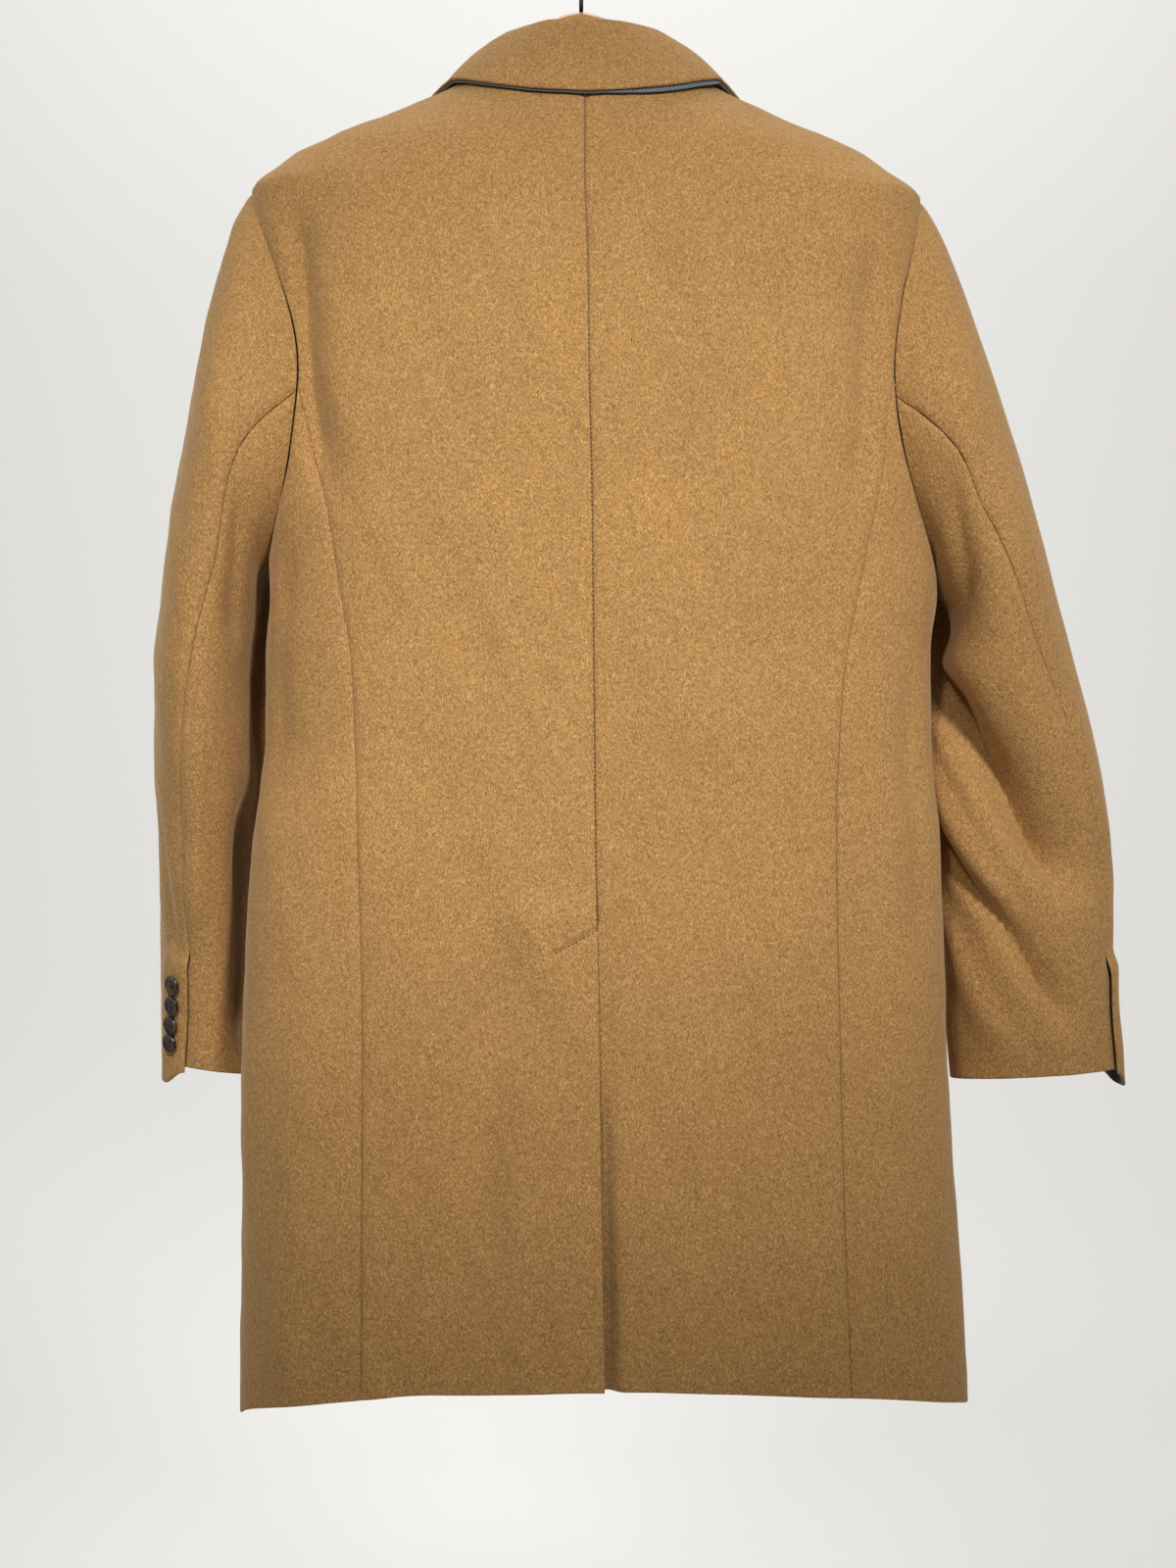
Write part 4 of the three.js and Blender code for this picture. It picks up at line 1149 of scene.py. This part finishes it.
# A section's base, top and edge, and its outward and upward directions.
def collarStation(number):
    if number < len(neckSections):
        row = neckSections[number]
        c, s = math.cos(math.radians(row["angle"])), math.sin(math.radians(row["angle"]))
        base = bodyInner(float(row["angle"]), float(levels["collar"]))
        forward = float(ramp(0, -36, row["angle"]))
        base[2] += collarCut["layerGap"] + collarCut["frontRise"] * forward
        inwards = np.array([collarCut["middle"], 0, base[2]])
        return [
            mix(base, inwards, collarCut["frontTurn"] * forward),
            np.array([collarCut["middle"] + row["wide"] * c, row["deep"] * s, row["top"]]),
            bodyPoint(float(row["angle"]), float(row["edge"]), collarCut["standOff"]),
            np.array([c, s, 0.0]),
            np.array([0.0, 0.0, 1.0]),
        ]
    row = chestSections[number - len(neckSections)]

    def near(distance):
        return bodyPoint(*chestPlace("left", row["roll"], distance), collarCut["standOff"])

    top = near(collarCut["chestTop"])
    away = near(8.0) - top
    start = chestPlace("left", row["roll"], 0.0)
    rise = bodyPoint(*start, 10.0) - bodyInner(*start)
    base, edge = near(collarCut["chestBase"]), near(row["out"])
    return [base, top, edge, away / np.linalg.norm(away), rise / np.linalg.norm(rise)]


stations = np.array([collarStation(k) for k in range(len(neckSections) + len(chestSections))])


# The collar's section at a place from 0 at the centre back to 1 at its front end, as one smooth run.
def collarSection(place):
    last = len(stations) - 1
    at = np.clip(place, 0, 1) * last
    i = np.minimum(at.astype(int), last - 1)
    share = (at - i)[:, None, None]
    mirrored = stations[1].copy()
    mirrored[:, 0] = 2 * stations[0][:, 0] - mirrored[:, 0]
    padded = np.concatenate([[mirrored], stations, [2 * stations[-1] - stations[-2]]])
    before, here, after, later = padded[i], padded[i + 1], padded[i + 2], padded[i + 3]
    square = (2 * before - 5 * here + 4 * after - later) * share**2
    cube = (3 * here - before - 3 * after + later) * share**3
    return 0.5 * (2 * here + (after - before) * share + square + cube)


# The face between the collar's stand and its fall: 0 is the neck seam, 1 the fall's outer edge.
def collarFace(place, along):
    shape = np.broadcast(place, along).shape
    place = np.broadcast_to(place, shape).ravel()
    along = np.broadcast_to(along, shape).ravel()[:, None]
    section = collarSection(np.abs(place))
    base, top, edge, away, rise = (section[:, k] for k in range(5))
    start, end = collarCut["foldStart"], collarCut["foldEnd"]
    radius = collarCut["foldRadius"]
    stand = mix(base, top, along / start)
    out = np.sum((edge - top) * away, axis=1, keepdims=True) - radius
    down = np.sum((edge - top) * rise, axis=1, keepdims=True) + collarCut["belly"] * np.pi
    last = np.arctan2(out, down)
    turn = last * (along - start) / (end - start)
    fold = top + away * radius * (1 - np.cos(turn)) + rise * radius * np.sin(turn)
    crest = top + away * radius * (1 - np.cos(last)) + rise * radius * np.sin(last)
    share = (along - end) / (1 - end)
    fall = mix(crest, edge, share) + rise * collarCut["belly"] * np.sin(np.pi * share)
    point = np.where(along < start, stand, np.where(along < end, fold, fall))
    point[:, 0] = np.where(place < 0, 2 * collarCut["middle"] - point[:, 0], point[:, 0])
    return point.reshape(*shape, 3)


def collarPoint(place, along, distance):
    step = 0.002
    alongU = collarFace(place + step, along) - collarFace(place - step, along)
    alongV = collarFace(place, along + step) - collarFace(place, along - step)
    normal = np.cross(alongU, alongV)
    normal /= np.maximum(np.linalg.norm(normal, axis=-1, keepdims=True), 1e-12)
    return collarFace(place, along) + normal * np.asarray(distance)[..., None]


# For a piece without a drawn-in seam.
def noSeam(u, v):
    return np.zeros(np.shape(u), bool)


def makeCollar():
    place = (shares(620, 4) * 2 - 1)[None, :]
    standRows = np.linspace(0, collarCut["foldStart"], 14)[:-1]
    foldRows = np.linspace(collarCut["foldStart"], collarCut["foldEnd"], 17)[:-1]
    fallRows = collarCut["foldEnd"] + (1 - collarCut["foldEnd"]) * shares(48, 3)[6:]
    along = np.concatenate([[0, 0.004], standRows[1:], foldRows, [collarCut["foldEnd"]], fallRows])[:, None]
    grids = [(place + 0 * along, along + 0 * place)]
    piece = clothPiece("collar", grids, collarPoint, cloth["wall"], wool[:1], noSeam)
    settle(piece, "wool", "collar")


def makeUnderCollar():
    place = (shares(600, 4) * 2 - 1)[None, :] * collarCut["feltEnds"]
    along = mix(collarCut["feltStart"], 1.0, shares(30, 3))[:, None]

    def face(place, along, distance):
        shown = ramp(*collarCut["feltFrom"], place) * (1 - ramp(*collarCut["feltTo"], place))
        shown = shown + collarCut["feltEven"]
        reach = along + collarCut["feltShown"] * shown * ramp(0.9, 1, along)
        return collarPoint(place, reach, distance - cloth["felt"] - collarCut["feltGap"])

    grids = [(place + 0 * along, along + 0 * place)]
    piece = clothPiece("underCollar", grids, face, cloth["felt"], [finishes["felt"]], noSeam)
    settle(piece, "felt", "undercollar")


# A lapel turns out round its front's edge and lies on the front. The right one ends where the
# left front covers it.
def makeLapel(side):
    left = side == "left"
    roll = mix(lapelCut["top"], lapelCut["bottom"][side], shares(205, 4))[:, None]
    covered = 0 * roll if left else 4 - 2 * frontEdgeDistance(roll)
    start = np.maximum(0, covered)
    end = np.maximum(readTable(lapelEdge, "roll", "out", roll), start + 4)
    share = shares(80, 4)[None, :]
    out = mix(start, end, share)
    height = cloth["wall"] + cloth["lapelGap"]

    def face(roll, out, distance):
        turn = np.clip(1 + out, 0, 1) * np.pi / 2
        rolled = out < 0
        reach = np.where(rolled, -height * np.cos(turn), out)
        up = np.where(rolled, height * np.sin(turn), height)
        angle, level = chestPlace(side, roll, reach)
        angle = sideAngle(side, angle)
        lift = frontLift(angle, level) if left else 0.0
        return bodyPoint(angle, level, lift + up + distance)

    if left:
        turned = np.linspace(-1, 0, lapelCut["turnRows"])[:-1][None, :] + 0 * roll
        out = np.concatenate([turned, out], axis=1)
    grids = [(roll + 0 * out, out)]
    name = "lapel" + side.capitalize()
    piece = clothPiece(name, grids, face, cloth["wall"], wool[:1], noSeam)
    settle(piece, "wool", "lapel_" + side)


makeCollar()
makeUnderCollar()
for side in ("left", "right"):
    makeLapel(side)
print("collar and lapels made")

buttonCut = {
    "cuff": {"diameter": 14, "thickness": 3, "holeOut": 1.75, "hole": 0.8},
    "front": {"diameter": 25, "thickness": 4, "holeOut": 2.6, "hole": 1.15},
    "thread": 0.42,
    "left": {"heights": [59, 44.8, 30.6, 20.4], "before": 15},
    "right": {"heights": [59, 44.8, 30.6, 16.8], "before": 50},
    "frontLevels": [-412, -522, -632],
    "clear": 0.5,
}


# A turned button with a raised rim and four holes, its underside at z = 0.
def buttonMesh(kind):
    cut = buttonCut[kind]
    radius, thick = cut["diameter"] / 2, cut["thickness"]
    inner = np.linspace(0, 0.66, 22)[1:]
    profile = [(share, 0.7 * thick) for share in inner]
    profile += [(0.72, 0.73 * thick), (0.78, 0.84 * thick), (0.84, 0.95 * thick), (0.89, thick)]
    profile += [(0.94, 0.97 * thick), (0.98, 0.82 * thick), (1, 0.6 * thick), (1, 0.42 * thick)]
    profile += [(0.97, 0.24 * thick), (0.9, 0.08 * thick), (0.8, 0), (0.4, 0)]
    turns = 64
    angle = np.arange(turns) * 2 * np.pi / turns
    vertices = [(0.0, 0.0, 0.7 * thick)]
    for share, height in profile:
        for turn in angle:
            vertices.append((radius * share * math.cos(turn), radius * share * math.sin(turn), height))
    vertices = np.array(vertices)
    upper = np.arange(len(vertices)) < 1 + len(inner) * turns
    for k in range(4):
        turn = np.pi / 4 + k * np.pi / 2
        centre = np.array([math.cos(turn), math.sin(turn)]) * cut["holeOut"]
        away = np.linalg.norm(vertices[:, :2] - centre, axis=1)
        dip = 0.52 * thick * (1 - ramp(cut["hole"] * 0.75, cut["hole"] * 1.15, away))
        vertices[:, 2] -= np.where(upper, dip, 0)
    faces = [(0, 1 + i, 1 + (i + 1) % turns) for i in range(turns)]
    for ringNumber in range(len(profile) - 1):
        start = 1 + ringNumber * turns
        for i in range(turns):
            after = (i + 1) % turns
            faces.append((start + i, start + turns + i, start + turns + after, start + after))
    last = 1 + (len(profile) - 1) * turns
    faces.append(tuple(last + i for i in reversed(range(turns))))
    return vertices, faces


# A round thread along a line of points.
def threadMesh(line, radius, sides=6):
    line = np.asarray(line, float)
    vertices, faces = [], []
    for k, point in enumerate(line):
        ahead = line[min(k + 1, len(line) - 1)] - line[max(k - 1, 0)]
        ahead /= np.linalg.norm(ahead)
        across = np.cross(ahead, [0.31, 0.2, 0.93])
        across /= np.linalg.norm(across)
        up = np.cross(ahead, across)
        for i in range(sides):
            turn = 2 * np.pi * i / sides
            vertices.append(point + radius * (across * math.cos(turn) + up * math.sin(turn)))
    for k in range(len(line) - 1):
        for i in range(sides):
            a, b = k * sides + i, k * sides + (i + 1) % sides
            faces.append((a, b, b + sides, a + sides))
    last = (len(line) - 1) * sides
    faces.append(tuple(reversed(range(sides))))
    faces.append(tuple(last + i for i in range(sides)))
    return np.array(vertices), faces


# Puts meshes together as one, each with the number of its material.
def gather(parts):
    vertices, faces, which, start = [], [], [], 0
    for partVertices, partFaces, material in parts:
        vertices.append(partVertices)
        faces += [tuple(start + i for i in face) for face in partFaces]
        which += [material] * len(partFaces)
        start += len(partVertices)
    return np.concatenate(vertices), faces, which


def makeButton(name, kind, point, outward, spin, node):
    cut = buttonCut[kind]
    parts = [(*buttonMesh(kind), 0)]
    for sign in (-1, 1):
        for strand in (-0.35, 0, 0.35):
            y = sign * cut["holeOut"] * 0.707 + strand * cut["hole"]
            reach = cut["holeOut"] * 0.707
            low, high = 0.35 * cut["thickness"], 0.7 * cut["thickness"] + 0.25
            line = [(-reach - 0.1, y, low), (-reach + 0.1, y, high - 0.1), (0, y, high + 0.12)]
            line += [(reach - 0.1, y, high - 0.1), (reach + 0.1, y, low)]
            parts.append((*threadMesh(line, buttonCut["thread"] * 0.62), 1))
    shank = [(0, 0, -1.2), (0, 0, 0.4)]
    parts.append((*threadMesh(shank, cut["hole"] * 1.6, 10), 1))
    vertices, faces, which = gather(parts)
    turn = Vector((0, 0, 1)).rotation_difference(Vector(outward)).to_matrix()
    spun = np.array([[math.cos(spin), -math.sin(spin), 0], [math.sin(spin), math.cos(spin), 0], [0, 0, 1]])
    vertices = vertices @ spun.T @ np.array(turn).T + point + np.asarray(outward) * buttonCut["clear"]
    piece = makeMesh(name, vertices, faces, [finishes["horn"], finishes["thread"]], which)
    settle(piece, "horn", node)


# The outer face of a piece at one pair, with its outward direction.
def seatOn(face, u, v):
    point = face(u, v, cloth["wall"])
    outward = face(u, v, cloth["wall"] + 10) - point
    outward = outward / np.linalg.norm(outward)
    return point + outward * swellAt(point), outward


for side in ("left", "right"):
    for number, height in enumerate(buttonCut[side]["heights"], 1):
        row = float(aboveCuff(side, height))
        angle = float(hindEdge(side, row)) - buttonCut[side]["before"]
        point, outward = seatOn(lambda u, v, d: upperFace(side, u, v, d), angle, row)
        name = f"cuffButton{side.capitalize()}{number}"
        makeButton(name, "cuff", point, outward, 0.5 * number, f"cuff_button_{side}_{number}")
for number, level in enumerate(buttonCut["frontLevels"], 1):
    angle = float(angleAt(0.0, float(level), True))
    point, outward = seatOn(lambda u, v, d: bodyPoint(u, v, d + float(frontLift(u, v))), angle, float(level))
    makeButton(f"frontButton{number}", "front", point, outward, 0.4 * number, f"front_button_{number}")
print("buttons made")

# Rows of small stitches.
sewing = {
    "length": 1.5,
    "step": 3.1,
    "thread": 0.26,  # radius
    "depth": 0.1,
    "seamDepth": 1.25,  # how deep the rows lie in their grooves
    "ventDepth": 1.3,
    "collarFrom": -0.21,
    "collarTo": -0.06,
    "collarAlong": 1.004,
}


# One piece of many stitches along a line of points, each with its outward direction.
def makeStitches(name, lines, slot):
    parts = []
    for line, outward in lines:
        along = np.concatenate([[0], np.cumsum(np.linalg.norm(np.diff(line, axis=0), axis=1))])
        for start in np.arange(1.0, along[-1] - sewing["length"], sewing["step"]):
            ends = []
            for place in (start, start + sewing["length"]):
                point = [np.interp(place, along, line[:, k]) for k in range(3)]
                away = [np.interp(place, along, outward[:, k]) for k in range(3)]
                ends.append(np.array(point) - np.array(away) * sewing["depth"])
            parts.append((*threadMesh(ends, sewing["thread"], 5), 0))
    vertices, faces, _ = gather(parts)
    piece = makeMesh(name, vertices, faces, [finishes["thread"]])
    settle(piece, slot)


# The outer face along a line of pairs, which is where stitches lie.
def seamLine(face, u, v, lower):
    points = face(u, v, cloth["wall"])
    outward = face(u, v, cloth["wall"] + 1.0) - points
    return points + outward * (swellAt(points) - lower)[:, None], outward


def makeSewing():
    def left(angle, level, distance):
        return bodyPoint(angle, level, distance + backLift(angle, level))

    level = np.linspace(-126, levels["vent"] - 4, 240)
    centre = seamLine(left, angleAt(0.4, level), level, sewing["seamDepth"])
    slant = np.linspace(0, 1, 24)
    across = 2 + (ventLine["across"] - 2) * slant
    down = levels["vent"] - ventLine["above"] - ventLine["drop"] * across / ventLine["across"]
    top = seamLine(left, angleAt(across, down), down, sewing["ventDepth"])
    makeStitches("backStitches", [centre, top], "wool")
    place = np.linspace(sewing["collarFrom"], sewing["collarTo"], 40)
    edge = collarPoint(place, sewing["collarAlong"], -0.2)
    outward = collarPoint(place, sewing["collarAlong"], 0.8) - edge
    makeStitches("collarStitches", [(edge, outward)], "felt")


makeSewing()
print("sewing made")

# The hanger from its middle to its end: the top's height, its own height and its half-depth.
hangerSections = table(
    ("x", "top", "height", "half"),
    (0, -70, 50, 9),
    (12, -72.4, 49, 9),
    (22, -78, 46, 9),
    (40, -95, 40, 10),
    (60, -114, 34, 11),
    (78, -125, 31, 12),
    (110, -138.2, 29, 14),
    (150, -155.8, 28, 17),
    (185, -171.4, 26, 19),
    (205, -181.8, 23, 19),
    (216, -190, 14, 15),
)
hook = {"wire": 3, "radius": 22}


def makeHanger():
    places = np.concatenate([np.linspace(0, 204, 76), 204 + 12 * np.sin(np.linspace(0, 1.5, 12)[1:])])
    places = np.concatenate([-places[:0:-1], places])
    turns = 40
    turn = np.arange(turns) * 2 * np.pi / turns
    c, s = np.cos(turn), np.sin(turn)
    out = (np.abs(c) ** 2.6 + np.abs(s) ** 2.6) ** (-1 / 2.6)
    vertices, faces = [], []
    for x in places:
        keys = ("top", "height", "half")
        top, height, half = (readTable(hangerSections, "x", key, abs(x)) for key in keys)
        middle = top - height / 2 + laps["lean"] * x
        vertices.append(points(x, half * c * out, middle + height / 2 * s * out))
    for k in range(len(places) - 1):
        for i in range(turns):
            a, b = k * turns + i, k * turns + (i + 1) % turns
            faces.append((a, b, b + turns, a + turns))
    last = (len(places) - 1) * turns
    faces.append(tuple(reversed(range(turns))))
    faces.append(tuple(last + i for i in range(turns)))
    piece = makeMesh("hanger", np.concatenate(vertices), faces, [finishes["wood"]])
    settle(piece, "wood", "hanger")


def makeHook():
    radius = hook["radius"]
    centre = hook["wire"] / 2 - radius
    turn = np.radians(np.linspace(-52, 200, 60))
    bend = np.stack([radius * np.cos(turn), 0 * turn, centre + radius * np.sin(turn)], axis=1)
    stem = [(0, 0, -72), (0, 0, -64), (0, 0, -58), (0.4, 0, -53.5), (2.2, 0, -48.6), (6.2, 0, -43.4)]
    vertices, faces = threadMesh(np.concatenate([stem, bend]), hook["wire"] / 2, 14)
    piece = makeMesh("hook", vertices, faces, [finishes["wire"]])
    settle(piece, "wire", "hook")


makeHanger()
makeHook()
print("hanger and hook made")

# A pale room whose floor curves up into a wall. The key lights fade towards the collar and the hem.
studio = {
    "roomColour": (0.98, 0.99, 1.0),
    "roomStrength": 0.2,
    "floorColour": (0.8, 0.79, 0.765),
    "floorZ": -1.6,
    "floorEnd": 7,
    "halfWidth": 9,
    "curve": 2.0,  # radius between the floor and the wall
    "wallY": -4.4,
    "wallTop": 6,
    "keyRadius": 0.24,
    "keyCone": 27,
    "wallAt": (0.0, -1.3, 2.4),
    "wallAim": (0.0, -4.4, -0.6),
    "wallPower": 138,
    "wallSize": 2.6,
}
keyLights = [
    {"name": "rightKey", "at": (-0.95, 2.15, 0.75), "aim": (-0.17, 0.0, -0.53), "power": 240},
    {"name": "leftKey", "at": (0.6, 2.2, 0.85), "aim": (0.26, 0.0, -0.53), "power": 210},
]


def placeLight(data, place, target):
    light = bpy.data.objects.new(data.name, data)
    light.location = place
    light.rotation_euler = (Vector(target) - light.location).to_track_quat("-Z", "Y").to_euler()
    bpy.context.scene.collection.objects.link(light)


def makeFloor():
    radius, low, wall = studio["curve"], studio["floorZ"], studio["wallY"]
    turn = np.radians(np.linspace(0, 90, 25))
    bend = [(wall + radius * (1 - math.sin(t)), low + radius * (1 - math.cos(t))) for t in turn]
    profile = [(studio["floorEnd"], low)] + bend + [(wall, studio["wallTop"])]
    sides = (-studio["halfWidth"], studio["halfWidth"])
    vertices = [(x / mm, y / mm, z / mm) for x in sides for y, z in profile]
    count = len(profile)
    faces = [(i, i + 1, count + i + 1, count + i) for i in range(count - 1)]
    material, tree, shader = newMaterial("paleFloor")
    shader.inputs["Base Color"].default_value = (*studio["floorColour"], 1)
    shader.inputs["Roughness"].default_value = 0.95
    makeMesh("floor", vertices, faces, [material])


def makeStudio():
    world = bpy.data.worlds.new("paleRoom")
    bpy.context.scene.world = world
    world.use_nodes = True
    background = world.node_tree.nodes["Background"]
    background.inputs["Color"].default_value = (*studio["roomColour"], 1)
    background.inputs["Strength"].default_value = studio["roomStrength"]
    bpy.context.scene.view_settings.view_transform = "Standard"
    makeFloor()
    for key in keyLights:
        data = bpy.data.lights.new(key["name"], "SPOT")
        data.energy = key["power"]
        data.spot_size = math.radians(studio["keyCone"])
        data.spot_blend = 1
        data.shadow_soft_size = studio["keyRadius"]
        placeLight(data, key["at"], key["aim"])
    data = bpy.data.lights.new("wallLight", "AREA")
    data.energy = studio["wallPower"]
    data.size = studio["wallSize"]
    placeLight(data, studio["wallAt"], studio["wallAim"])


makeStudio()
print("studio made")
